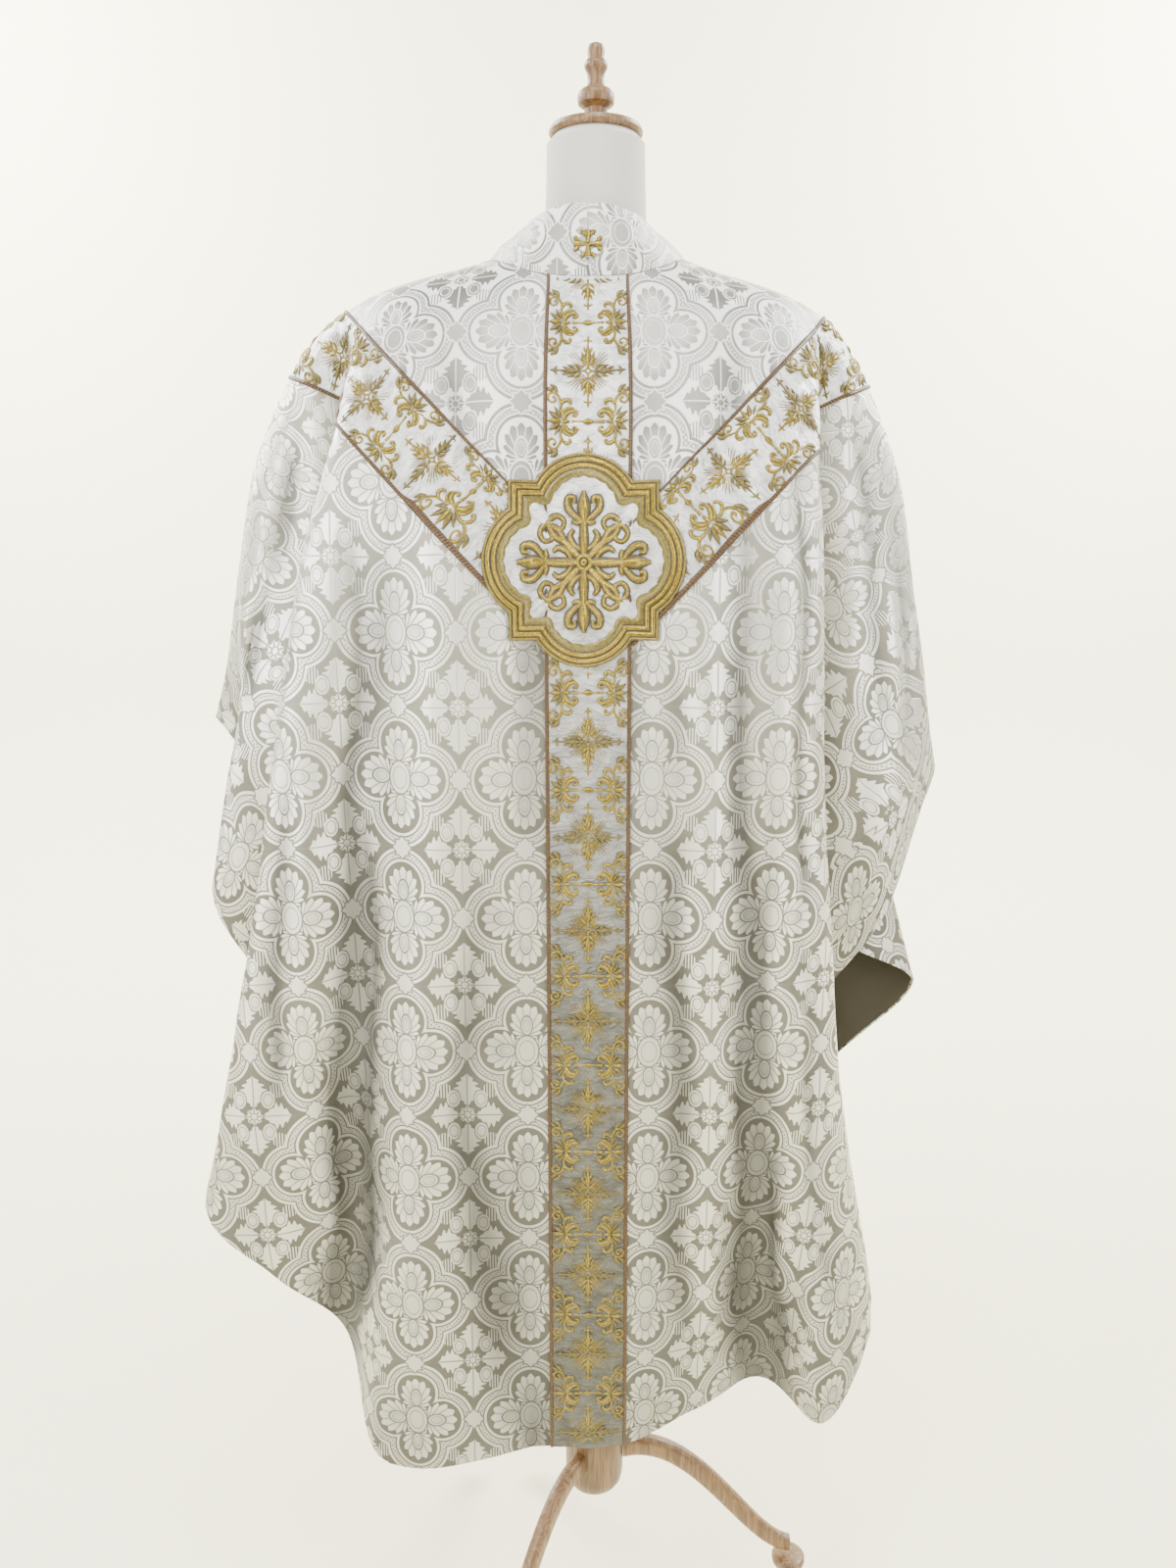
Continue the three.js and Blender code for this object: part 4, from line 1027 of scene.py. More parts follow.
class Arm(Strip):
    """Slanting strip from the centre strip to the shoulder ridge. Its two edges are found on
    every fold line; p runs along from the centre strip, q across with the upper edge at
    -half, and between them points are looked up by arc length."""

    def __init__(self, face, side):
        super().__init__()
        is_back = face == "back"
        plan = BACK_ARM if is_back else FRONT_ARM
        crest, foot_x, foot_z = ARM_ENDS[face, side]
        self.centre = BACK_SPAN if is_back else FRONT_SPAN
        self.direction = side if is_back else -side
        self.facing = -self.direction
        self.spans = np.linspace(1.0, 9.0, 161)
        around = self.centre + self.direction * self.spans
        stations = np.linspace(0.05, 3.0, 500)
        grid = cloth(around[:, None], stations[None, :])
        x, z = np.abs(grid[..., 0]) / MM, grid[..., 2] / MM
        upper = plan["top"] + plan["slope"] * (x - STRIP_SIDE)
        low_back = upper - plan["drop"]
        low_sleeve = foot_z - ARM_RISE + (x - crest) * ARM_RISE / (foot_x - crest)
        sleeve_share = smooth_step(5.2, 6.2, self.spans)[:, None]
        lower = low_back * (1 - sleeve_share) + low_sleeve * sleeve_share
        self.edges = [np.array([np.interp(0.0, row, stations) for row in gap])
                      for gap in (upper - z, lower - z)]
        slant = math.atan(plan["slope"])
        self.shares = np.linspace(0, 1, 33)
        runs = []
        for share in self.shares:
            line = cloth(around, self.edges[0] * (1 - share) + self.edges[1] * share)
            run = np.append(0, np.cumsum(length(np.diff(line, axis=0))))
            runs.append(run + (0.5 - share) * plan["drop"] * MM * math.sin(slant))
        self.low_end, self.high_end = np.array(runs)[:, 0], np.array(runs)[:, -1]
        self.start, self.end = self.low_end.min(), self.high_end.max()
        self.steps = np.linspace(self.start, self.end, 600)
        self.lookup = np.array([np.interp(self.steps, run, self.spans) for run in runs])

    def locate(self, p, q):
        p, q = matched(p, q)
        share = np.clip(q / self.half * 0.5 + 0.5, 0, 1)
        row = share * (len(self.shares) - 1)
        i = np.clip(np.floor(row).astype(int), 0, len(self.shares) - 2)
        column = (p - self.start) / (self.end - self.start) * (len(self.steps) - 1)
        j = np.clip(np.floor(column).astype(int), 0, len(self.steps) - 2)
        s, t = row - i, np.clip(column - j, 0, 1)
        look = self.lookup
        spans = ((look[i, j] * (1 - t) + look[i, j + 1] * t) * (1 - s)
                 + (look[i + 1, j] * (1 - t) + look[i + 1, j + 1] * t) * s)
        upper, lower = (np.interp(spans, self.spans, edge) for edge in self.edges)
        return self.centre + self.direction * spans, upper * (1 - share) + lower * share

    def limits(self, q):
        """First and last p that lie on the cloth at a given q."""
        share = np.clip(q / self.half * 0.5 + 0.5, 0, 1)
        return np.interp(share, self.shares, self.low_end), np.interp(share, self.shares, self.high_end)


def puckers(p, q):
    """Satin drawn in by the stitches: two layers of stretched noise, calm at the edges."""
    u, v = p / MM, q / MM
    waves = 0.55 * soft_noise(u / 6.5, v / 13, 11) + 0.35 * soft_noise(u / 3.6 + v / 9, v / 7, 12)
    return waves * MM * 1.1 * smooth_step(0, 9, SATIN_HALF - np.abs(v))


def strip_piece(name, strip, node):
    """Satin strip, a thin closed shell whose top skin is puckered."""
    across = np.linspace(-1, 1, 27) * strip.half
    first, last = strip.limits(across)
    share = np.linspace(0, 1, int((last - first).max() / STRIP_STEP) + 2)
    p = first[None, :] + (last - first)[None, :] * share[:, None]
    q = np.broadcast_to(across, p.shape)
    lift = puckers(p, q)
    outer = strip.place(p, q, STRIP_HEIGHTS[0] + lift)
    inner = strip.place(p, q, STRIP_HEIGHTS[1])
    # The last grid is the tone: painted shade in the puckers' hollows and painted light on their tops.
    grids = [outer, inner, np.stack([q, p], axis=-1), np.clip(0.5 + lift / (1.5 * MM), 0, 1)]
    if strip.facing < 0:
        grids = [grid[:, ::-1] for grid in grids]
    outer, inner, place, tone = grids
    points, faces = shell(outer, inner)
    return make_piece(name, points, faces, finish_of(satin_material), [node],
                      corner_places(place, faces), np.tile(tone.ravel(), 2))


# ---------------------------------------------------------------- embroidery
# Strokes in millimetres: x across the strip, y along it and the stroke's width at each point.

BAR_QUARTER = (                                # scrolls on one side of the bar
    ((23.5, 1, 1.8), (21.5, 5.6, 3.2), (17.2, 9.6, 3.3), (12.4, 9.8, 2.6), (10.4, 7, 2.2), (12.4, 5, 2),
        (14.6, 6.2, 2.4)),
    ((24.2, 3, 1.2), (23.6, 8, 2), (20.2, 12, 2.2), (15.6, 13.2, 1.7), (12.8, 12.2, 1.1)),
    ((26.5, 2.2, 1.2), (31.5, 5.2, 3.6), (37.2, 9, 0.8)),
    ((25.6, 4.2, 1), (28.6, 8.6, 2.4), (31.8, 13.6, 0.6)),
    ((24.2, 6, 1), (26, 11, 1.6), (25.4, 16.2, 2), (21.8, 20.2, 2.8), (17.8, 20.4, 2.7),
        (16.4, 18, 2.2), (18.2, 16.8, 2.2)),
    ((25.4, 15, 1.2), (26.4, 20.4, 1.9), (29.4, 25.2, 2), (33.6, 26.6, 1.8), (37.4, 23.8, 1.8),
        (37.6, 19.6, 1.7), (34.4, 17.2, 1.6), (31.2, 18.8, 1.6), (31, 21.8, 1.9), (33.4, 22.8, 2.6)),
    ((28.8, 26.4, 1.4), (31.6, 31.4, 3.6), (36, 34, 1.2)),
    ((33, 28.2, 1.2), (36.6, 29.4, 2.8), (39.2, 32.2, 1)),
)
BAR_HALF = (                                   # on the bar's own line, mirrored side to side
    ((0, 0, 4.4), (2.4, 0, 3.4), (5.6, 0, 1)),
    ((4.6, 0, 1.5), (9.5, 0, 1.6), (15.5, 0, 2.4)),
    ((25.4, 0, 1.2), (31.5, 0, 3.8), (38.4, 0, 0.8)),
    ((17, 0, 1.6), (20.5, 0, 2.8), (24.2, 0, 2)),
)
LEAF_ARM = (                                   # one arm of the leafy cross, mirrored side to side
    ((0, 2.4, 1.9), (0, 8, 1.5), (0, 14.5, 4.6), (0, 21, 2.6), (0, 27.5, 0.9)),
    ((0.6, 6.6, 1.1), (3.4, 8.4, 2.3), (6.9, 12.8, 0.7)),
    ((0.8, 11.6, 1.1), (4.3, 14.4, 2.3), (6.2, 19.4, 0.7)),
    ((0.7, 17.4, 1), (2.9, 20, 1.9), (3.9, 24.4, 0.6)),
    ((0.2, 29.6, 1.2), (2.4, 30.4, 1.3), (4.2, 28.8, 1)),
    ((0, 26.5, 1.2), (0, 31, 1.9), (0, 35.4, 0.6)),
)
FULLER = 1.5                                    # stitches are this much wider than drawn
RAYS = ((24, 17), (33, 22), (41, 24.5), (49, 24.5), (57, 22), (66, 17))      # degrees, reach

LEAFY_CROSS_ARM = (                            # medallion's foliate cross, one arm, mirrored
    ((0, 5, 5), (0, 18, 8.2), (0, 40, 5.4)),
    ((0, 38, 5), (0, 50, 12), (0, 66, 1.6)),
    ((2.6, 39, 3), (9.6, 43.5, 5.4), (15.8, 52, 6.6), (14.4, 59.6, 5.2), (9.2, 59, 4.2), (9.6, 54.2, 3.4)),
    ((-0.5, 38.5, 3.2), (6.2, 36.6, 4.2), (11.8, 38.2, 2)),
    ((3, 12, 2.6), (10.4, 17, 5.2), (13.4, 25.4, 4.6), (9.4, 30.4, 1.8)),
)
# A curl between the arms; its twin has x and y changed over.
CROSS_SCROLL = (
    (5, 5, 5.6), (15, 13.6, 5.6), (27, 31, 5), (37.4, 34.2, 4.4), (43, 26.6, 4.2),
    (38, 19.2, 3.8), (30.6, 22, 3.4), (31.6, 28, 4.4),
)
SMALL_CROSS_ARM = (
    ((0, 1.4, 3.4), (0, 7, 5.6), (0, 12.8, 7.4)),
    ((1.4, 8.6, 2.6), (4.6, 10.6, 4.6), (6.6, 13.2, 3.4)),
)


def smooth_path(points, spacing):
    """Cubic through the points, sampled about every spacing."""
    points = np.array(points, float)
    padded = np.concatenate([[2 * points[0] - points[1]], points, [2 * points[-1] - points[-2]]])
    rows = []
    for k in range(len(points) - 1):
        a, b = padded[k + 1], padded[k + 2]
        t = np.arange(max(2, int(np.linalg.norm((b - a)[:2]) / spacing)))
        rows.append(between(padded[k], a, b, padded[k + 3], (t / len(t))[:, None]))
    return np.concatenate([*rows, points[-1:]])


def stroke(path, rise=0.42, spacing=1.9, tone=1.0, under=0.35, fuller=1.0):
    """Padded stitch: a rounded section carried along a path, with a painted highlight on its crest and
    painted shade at its edges. Points are (x, y, height) in millimetres, with uv (along, across) in metres."""
    line = smooth_path(path, spacing)
    centre, width = line[:, :2], np.maximum(line[:, 2] * fuller, 0.4)
    ahead = unit(np.gradient(centre, axis=0))
    side = np.stack([-ahead[:, 1], ahead[:, 0]], axis=-1)
    run = np.append(0, np.cumsum(length(np.diff(centre, axis=0))))
    profile = np.array([(-0.5, -under), (-0.42, 0.45), (0.0, 1.0), (0.42, 0.45), (0.5, -under)])
    across = width[:, None] * profile[:, 0]
    lift = np.where(profile[:, 1] < 0, 1.0, (width * rise)[:, None]) * profile[:, 1]
    flat = centre[:, None, :] + side[:, None, :] * across[..., None]
    points = np.concatenate([flat, lift[..., None]], axis=-1)
    place = np.stack([np.broadcast_to(run[:, None], across.shape), across], axis=-1) * MM
    shade = np.broadcast_to(np.array((0.0, 0.28, 1.0, 0.28, 0.0)) * tone, across.shape)
    return {"points": points.reshape(-1, 3), "faces": grid_faces(len(line), len(profile)),
            "uv": place.reshape(-1, 2), "tone": shade.reshape(-1)}


def toned(one, share):
    """The stroke with its tone dimmed."""
    return {**one, "tone": one["tone"] * share}


def turned_stroke(one, matrix, shift=(0, 0)):
    """The stroke turned or mirrored in its plane, then moved."""
    matrix = np.array(matrix, float)
    points = one["points"].copy()
    points[:, :2] = points[:, :2] @ matrix.T + shift
    faces = one["faces"] if np.linalg.det(matrix) > 0 else one["faces"][:, ::-1]
    return {**one, "points": points, "faces": faces}


MIRRORS = [((sx, 0), (0, sy)) for sx in (1, -1) for sy in (1, -1)]
QUARTERS = [((1, 0), (0, 1)), ((0, -1), (1, 0)), ((-1, 0), (0, -1)), ((0, 1), (-1, 0))]
SIDES = [((1, 0), (0, 1)), ((-1, 0), (0, 1))]


def times(a, b):
    return np.array(a) @ np.array(b)


def mirrors_of(path):
    """Both sides for a stroke beside its arm's middle line, and one for a stroke on it."""
    return SIDES if path[0][0] or path[-1][0] else SIDES[:1]


def on_four_arms(one, path):
    return [turned_stroke(one, times(quarter, mirror))
            for quarter in QUARTERS for mirror in mirrors_of(path)]


def ring_stroke(radius, width, **options):
    angles = np.linspace(0, 2 * np.pi, 13)
    path = np.stack([np.cos(angles) * radius, np.sin(angles) * radius, np.full(13, width)], axis=-1)
    return stroke(path, **options)


def motif_strokes(repeat):
    """One repeat: a leafy cross with rays at y = 0 and a barred scroll half a repeat on."""
    found = []
    for path in LEAF_ARM:
        one = stroke(path, fuller=FULLER)
        for quarter in QUARTERS:
            # The arms across the strip are painted darker, as shade: their stitches turn from the light.
            upright = quarter[0][0] != 0
            fit = np.diag((1.0, 1.0) if upright else (1.02, 0.94))
            shown = toned(one, 1.0 if upright else 0.45)
            found += [turned_stroke(shown, fit @ times(quarter, mirror)) for mirror in mirrors_of(path)]
    for angle, reach in RAYS:
        ahead = np.array((math.cos(math.radians(angle)), math.sin(math.radians(angle))))
        path = [(*(r * ahead), width) for r, width in ((5.5, 0.75), (reach * 0.6, 1.0), (reach, 0.55))]
        one = stroke(path, rise=0.5, spacing=6, under=0.1)
        one["tone"] = np.full(len(one["points"]), 0.72)
        found += [turned_stroke(one, mirror) for mirror in MIRRORS]
    found.append(ring_stroke(2.4, 2.0))
    half = (0, repeat / MM / 2)
    for path in BAR_QUARTER:
        one = toned(stroke(path, fuller=FULLER), 0.5 if len(path) == 3 else 1.0)
        found += [turned_stroke(one, mirror, half) for mirror in MIRRORS]
    for path in BAR_HALF:
        one = stroke(path, fuller=FULLER)
        found += [turned_stroke(one, mirror, half) for mirror in SIDES]
    return found


def join(strokes):
    """Strokes joined into one set of arrays."""
    starts = np.cumsum([0] + [len(one["points"]) for one in strokes[:-1]])
    joined = {key: np.concatenate([one[key] for one in strokes]) for key in ("points", "uv", "tone")}
    joined["faces"] = np.concatenate([one["faces"] + start for one, start in zip(strokes, starts)])
    return joined


def stitched(name, points, strokes, nodes=(), finish=gold_material, inwards=False):
    """Piece made of joined strokes. Its faces turn over where the strokes' plane faces inwards."""
    faces = strokes["faces"][:, ::-1] if inwards else strokes["faces"]
    return make_piece(name, points, faces, finish_of(finish), nodes,
                      strokes["uv"][faces.ravel()], strokes["tone"], crisp=0)


def embroider(name, strip, crosses, limits=(-1, 9), hidden=None):
    """Motifs along a strip, with a cross at each given p. Strokes that would pass the strip's
    ends, or lie under another piece, are left out."""
    motif = motif_strokes(settings().motif_repeat)
    edge = 1.2 * MM
    kept = []
    for p in crosses:
        for one in motif:
            moved = turned_stroke(one, QUARTERS[0], (0, p / MM))
            along, across = moved["points"][:, 1] * MM, moved["points"][:, 0] * MM
            first, last = strip.limits(across)
            before = along < np.maximum(first + edge, limits[0])
            beyond = along > np.minimum(last - edge, limits[1])
            if (before | beyond).any() or (hidden is not None and hidden(strip, along, across)):
                continue
            kept.append(moved)
    strokes = join(kept)
    x, y, lift = strokes["points"].T * MM
    points = strip.place(y, x, STRIP_HEIGHTS[0] + 0.05 * MM + lift)
    return stitched(name, points, strokes, inwards=strip.facing > 0)


def edge_cord(name, strip):
    """Cords along both edges of a strip: a half-round section carried along it."""
    width = settings().cord_width
    cords = []
    for side in (-1, 1):
        q = side * (strip.half - width / 2)
        first, last = (float(end[0]) for end in strip.limits(np.array([q])))
        count = int((last - first) / (3.2 * MM))
        p = np.linspace(first, last, count)[:, None]
        angle = np.linspace(0, np.pi, 7)
        lift = STRIP_HEIGHTS[0] - 0.3 * MM + np.sin(angle) * 1.7 * MM
        points = strip.place(*np.broadcast_arrays(p, q + np.cos(angle) * width / 2, lift))
        place = np.stack(np.broadcast_arrays(p, angle * width / 2), axis=-1)
        cords.append({"points": points.reshape(-1, 3), "faces": grid_faces(count, 7),
                      "uv": place.reshape(-1, 2), "tone": np.full(points.size // 3, 0.5)})
    both = join(cords)
    return stitched(name, both["points"], both, finish=cord_material, inwards=strip.facing > 0)


# ---------------------------------------------------------------- medallion

MEDALLION = {"x": -4, "z": 1279, "half_width": 98, "half_height": 102}
LOBE_CENTRE, LOBE_RADIUS, SQUARE = 0.44, 0.56, 0.74      # shares of the half width or height
# Section of the frame: inset from the outline, height above the cloth, tone. The tone paints shade in the
# grooves and a highlight on the ridges, with lame between.
FRAME_SECTION = (
    (0.0, 2.3, 0.0), (0.4, 4.2, 0.1), (1.5, 5.5, 0.8), (2.7, 4.8, 0.4), (3.1, 4.2, 0.0), (3.7, 4.2, 0.0),
    (4.1, 5.2, 0.6), (6.2, 6.1, 1.0), (8.0, 5.3, 0.6), (8.5, 4.3, 0.0), (9.3, 4.3, 0.0), (9.8, 5.6, 0.6),
    (11.8, 6.6, 1.0), (13.4, 5.7, 0.6), (14.0, 4.4, 0.0), (14.6, 4.4, 0.0), (15.0, 4.7, 0.4),
        (18.6, 4.8, 0.5),
    (21.2, 4.4, 0.42), (21.7, 3.7, 0.05),
)
SCALLOPED_FROM = 20                            # inset beyond which the edge is scalloped
SCALLOPS = 44
GROUND_HEIGHT = 3.8
RIM = 0.085                                    # mean radius of the frame in metres, for its uv


def quatrefoil(angle, inset=0.0):
    """Radius of the barbed quatrefoil in a direction: the farther of the nearest lobe's circle
    and the square, both drawn in by the inset."""
    quarter = np.pi / 2
    from_lobe = (angle + quarter / 2) % quarter - quarter / 2
    radius = LOBE_RADIUS - inset
    chord = LOBE_CENTRE * np.sin(from_lobe)
    lobe = LOBE_CENTRE * np.cos(from_lobe) + np.sqrt(np.maximum(radius ** 2 - chord ** 2, 0))
    square = (SQUARE - inset) / np.maximum(np.abs(np.cos(angle)), np.abs(np.sin(angle)))
    return np.maximum(lobe, square)


def medallion_place(x, z, height):
    """Point above the cloth at x, z millimetres from the medallion's middle."""
    gx, gz = (x + MEDALLION["x"]) * MM, (z + MEDALLION["z"]) * MM
    around, station = find_on_cloth(gx, gz, BACK_SPAN + gx / 0.085, 2 + (1.33 - gz) / 0.32)
    return draped(around, station, height * MM)


def medallion_frame():
    """Padded frame: the section carried round the quatrefoil, with a scalloped inner edge."""
    angles = full_turn(720)
    section = np.array(FRAME_SECTION)
    scallops = 1.3 * np.abs(np.sin(angles * SCALLOPS / 2)) - 0.6
    inset = section[:, :1] + (section[:, :1] > SCALLOPED_FROM) * scallops
    radius = quatrefoil(angles[None, :], inset / MEDALLION["half_width"])
    x = radius * np.cos(angles) * MEDALLION["half_width"]
    z = radius * np.sin(angles) * MEDALLION["half_height"]
    height = np.broadcast_to(section[:, 1][:, None], x.shape)
    points = medallion_place(x, z, height)
    faces = grid_faces(len(section), len(angles), closed=True)
    place = np.stack([np.broadcast_to(angles * RIM, x.shape), inset * MM], axis=-1).reshape(-1, 2)
    tone = np.broadcast_to(section[:, 2][:, None], x.shape).ravel()
    # Faces across the start of the ring take their low corners from one turn further on.
    corner_uv = place[faces]
    u = corner_uv[..., 0]
    wraps = np.ptp(u, axis=1, keepdims=True) > np.pi * RIM
    u += np.where(wraps & (u < np.pi * RIM), 2 * np.pi * RIM, 0.0)
    return make_piece("medallion_frame", points.reshape(-1, 3), faces, finish_of(gold_material),
                      ["medallion"], corner_uv, tone, crisp=0)


def medallion_ground():
    """White satin field with pleats that run in from the barbs and small puckers."""
    angles = full_turn(288)
    shares = np.linspace(1.0, 0.02, 46)
    radius = quatrefoil(angles, 19 / MEDALLION["half_width"])[None, :] * shares[:, None]
    x = radius * np.cos(angles) * MEDALLION["half_width"]
    z = radius * np.sin(angles) * MEDALLION["half_height"]
    barb = np.abs((angles[None, :] % (np.pi / 2)) - np.pi / 4)
    pleat = np.exp(-((barb - 0.05) / 0.035) ** 2) - 0.8 * np.exp(-((barb - 0.13) / 0.045) ** 2)
    pleat = pleat * smooth_step(0.45, 0.8, shares)[:, None] * smooth_step(1.0, 0.93, shares)[:, None]
    fine = soft_noise(x / 9 + 20, z / 9 + 20, 31) * 0.35 + soft_noise(x / 4.5 + 9, z / 6 + 9, 32) * 0.15
    height = GROUND_HEIGHT + 1.5 * pleat + fine * smooth_step(1.0, 0.9, shares)[:, None]
    points = medallion_place(x, z, height)
    # The tone paints shade and light on the pleats and small puckers.
    tone = np.append(np.clip(0.5 + 0.35 * pleat + 1.1 * fine, 0, 1), 0.5)
    count = len(angles)
    middle_point = medallion_place(np.array([0.0]), np.array([0.0]), np.array([GROUND_HEIGHT]))
    last = (len(shares) - 1) * count
    ring = last + np.arange(count)
    tip = np.stack([ring, np.full(count, points.shape[0] * count), np.roll(ring, -1)], axis=-1)
    quads = grid_faces(len(shares), count, closed=True)
    place = np.concatenate([np.stack([x, z], axis=-1).reshape(-1, 2), [[0, 0]]]) * MM
    uv = np.concatenate([place[quads].reshape(-1, 2), place[tip].reshape(-1, 2)])
    points = np.concatenate([points.reshape(-1, 3), middle_point])
    return make_piece("medallion_ground", points, [quads, tip], finish_of(satin_material),
                      uv=uv, tone=tone, crisp=0)


def padded_pair(path):
    """Heavy stroke with a dark flat edge under it."""
    wide = [(x, y, width + 2.2) for x, y, width in path]
    return [stroke(wide, rise=0.10, spacing=2.2, tone=0.15), stroke(path, rise=0.40, spacing=1.6)]


def medallion_cross():
    """Foliate cross of padded strokes, four leafy arms and curls between."""
    found = []
    for path in LEAFY_CROSS_ARM:
        for one in padded_pair(path):
            one["points"][:, 2] += 0.02 * path[-1][1]
            found += on_four_arms(one, path)
    for path in (CROSS_SCROLL, [(y, x, width) for x, y, width in CROSS_SCROLL]):
        for one in padded_pair(path):
            found += [turned_stroke(one, quarter) for quarter in QUARTERS]
    for one in (ring_stroke(6.4, 4.6, spacing=1.5), ring_stroke(2.0, 3.6, spacing=1.0)):
        one["points"][:, 2] += 1.4
        found.append(one)
    cross = join(found)
    x, z, lift = cross["points"].T
    points = medallion_place(x * 0.98, z * 1.02 - 1, GROUND_HEIGHT + 0.2 + lift)
    return stitched("medallion_foliate_cross", points, cross)


def under_medallion(strip, along, across):
    """True where every point of a stroke lies well inside the medallion's outline."""
    place = strip.place(along, across, 0.0) / MM
    if place[..., 1].max() > -100:
        return False
    x = (place[..., 0] - MEDALLION["x"]) / MEDALLION["half_width"]
    z = (place[..., 2] - MEDALLION["z"]) / MEDALLION["half_height"]
    return bool((np.hypot(x, z) < 0.985 * quatrefoil(np.arctan2(z, x))).all())


# ---------------------------------------------------------------- collar

COLLAR_TOP = {"half_width": 64, "back_y": -67, "front_y": 63,
              "back_z": 1621, "side_z": 1611, "front_z": 1566}
COLLAR_GAP = 0.9 * MM


def collar(around, share):
    """Band from the neck seam to its leaning top edge, a little rounded on the way."""
    around, share = matched(around, share)
    seam = cloth(around, np.zeros_like(around))
    angle = np.arctan2(seam[..., 1], seam[..., 0])
    is_back = seam[..., 1] < 0
    depth = np.where(is_back, -COLLAR_TOP["back_y"], COLLAR_TOP["front_y"]) * MM
    end_z = np.where(is_back, COLLAR_TOP["back_z"], COLLAR_TOP["front_z"]) * MM
    side_z = COLLAR_TOP["side_z"] * MM
    top = np.stack([COLLAR_TOP["half_width"] * MM * np.cos(angle), depth * np.sin(angle),
                    side_z + (end_z - side_z) * np.sin(angle) ** 2], axis=-1)
    run = top - seam
    gap = COLLAR_GAP / length(run)
    outwards = unit(seam * np.array([1, 1, 0]))
    bulge = outwards * (4 * MM * np.sin(np.pi * share))[..., None]
    return seam + run * (gap + (1 - gap) * share[..., None]) + bulge


def collar_normal(around, share):
    step = 0.02
    up = collar(around, np.minimum(share + step, 1)) - collar(around, np.maximum(share - step, 0))
    across = collar(around + step, share) - collar(around - step, share)
    return unit(np.cross(across, up))


def collar_half(name, first, last, node):
    """Half of the collar band, with soft cross wrinkles and a rolled top edge."""
    around, share = np.meshgrid(np.linspace(first, last, 91), np.linspace(1, 0, 22))
    normal = collar_normal(around, share)
    wave = 0.7 * soft_noise(around * 0.9 + 3, share * 2.2 + 5, 41)
    wave = wave * smooth_step(0, 0.2, share) * smooth_step(1, 0.8, share)
    roll = 0.5 * smooth_step(0.9, 1.0, share)
    middle_line = collar(around, share) + normal * ((wave + roll) * MM)[..., None]
    middle_line = trim_ends(middle_line, SEAM_GAP)
    outer, inner = middle_line + normal * DAMASK_HALF, middle_line - normal * DAMASK_HALF
    points, faces = shell(outer, inner)
    steps = length(np.diff(middle_line, axis=1))[..., 0]
    along = np.concatenate([np.zeros((len(steps), 1)), np.cumsum(steps, axis=1)], axis=1)
    side = 1 if first == BACK_SPAN else -1
    along = along if side > 0 else along - along[:, -1:]
    place = np.stack([along + 0.030, -share * 0.075 + 0.045], axis=-1)
    return make_piece(name, points, faces, finish_of(damask_material), [node],
                      corner_places(place, faces))


def collar_cross():
    """Small cross of short petals on the band at centre back."""
    found = []
    for path in SMALL_CROSS_ARM:
        found += on_four_arms(stroke(path, rise=0.36, spacing=2.0), path)
    found.append(ring_stroke(1.7, 2.4, rise=0.6))
    cross = join(found)
    x, z, lift = cross["points"].T
    centre = np.array([float(BACK_SPAN)])
    band = np.linalg.norm(collar(centre, 1.0) - collar(centre, 0.0))
    span = np.linalg.norm(collar(centre + 1, 0.5) - collar(centre, 0.5))
    around, share = BACK_SPAN + x * MM / span, 0.42 + z * MM / band
    points = collar(around, share) + collar_normal(around, share) * ((1.15 + lift) * MM)[:, None]
    return stitched("collar_small_cross", points, cross, ["collar_cross"])


# ---------------------------------------------------------------- dress form and stand

BUST_SECTIONS = (                              # height, half width, half depth
    (834.8, 140, 92), (842, 160, 108), (862, 170, 118), (920, 168, 118), (1000, 158, 110), (1100, 152, 106),
    (1200, 162, 114), (1300, 176, 120), (1380, 194, 118), (1430, 206, 110), (1475, 216, 96),
        (1502, 214, 84),
    (1522, 196, 74), (1539, 146, 62), (1552, 98, 54), (1567, 66, 51), (1596, 52, 51), (1692, 50, 50),
        (1700, 43, 43),
)
NECK_TOP = 1700
FINIAL_BASE = 1712.3
HUB_RADIUS = 36
LEG_REACH = 252
FOOT_HEIGHT = 12
# Turned profiles from the axis out and back to it: radius and height.
CAP_PROFILE = [(radius, NECK_TOP + up) for radius, up in (
    (0, 0.3), (45, 0.3), (46.6, 0.9), (47.9, 3), (47.9, 5), (46, 9), (30, 10.7), (12, 11.9), (0, 12))]
FINIAL_PROFILE = [(radius, FINIAL_BASE + up) for radius, up in (
    (0, 0), (11, 0), (11.1, 6), (12, 14), (15, 16), (18.2, 18.4), (18.8, 21), (18.8, 26), (18, 28.6),
    (15, 31.6), (11, 33.2), (9, 35.4), (8.4, 41), (8.7, 46.6), (10.6, 49.8), (11.8, 52.4), (11.8, 55.6),
    (10.6, 58), (8.2, 60), (8.2, 63), (8.9, 67), (8.6, 70.4), (7, 73.2), (4, 74.6), (0, 74.7))]
POLE_PROFILE = [(0, 138.3), (13.4, 138.3), (14, 139), (14, 834), (13.4, 834.5), (0, 834.5)]
HUB_PROFILE = [                                # ends with the bore for the pole
    (0, 118), (8, 118.1), (20, 121.2), (30, 126), (34, 132), (HUB_RADIUS, 142), (HUB_RADIUS, 198),
    (34, 209), (28, 218), (25, 226), (20.3, 231.6), (14.9, 232), (14.3, 231.4), (14.3, 138), (0, 138)]
FOOT_PROFILE = [
    (0, 0), (17.5, 0), (20.4, 0.9), (21, 3), (21, 8), (19.6, 10.2), (15.6, FOOT_HEIGHT), (0, FOOT_HEIGHT)]


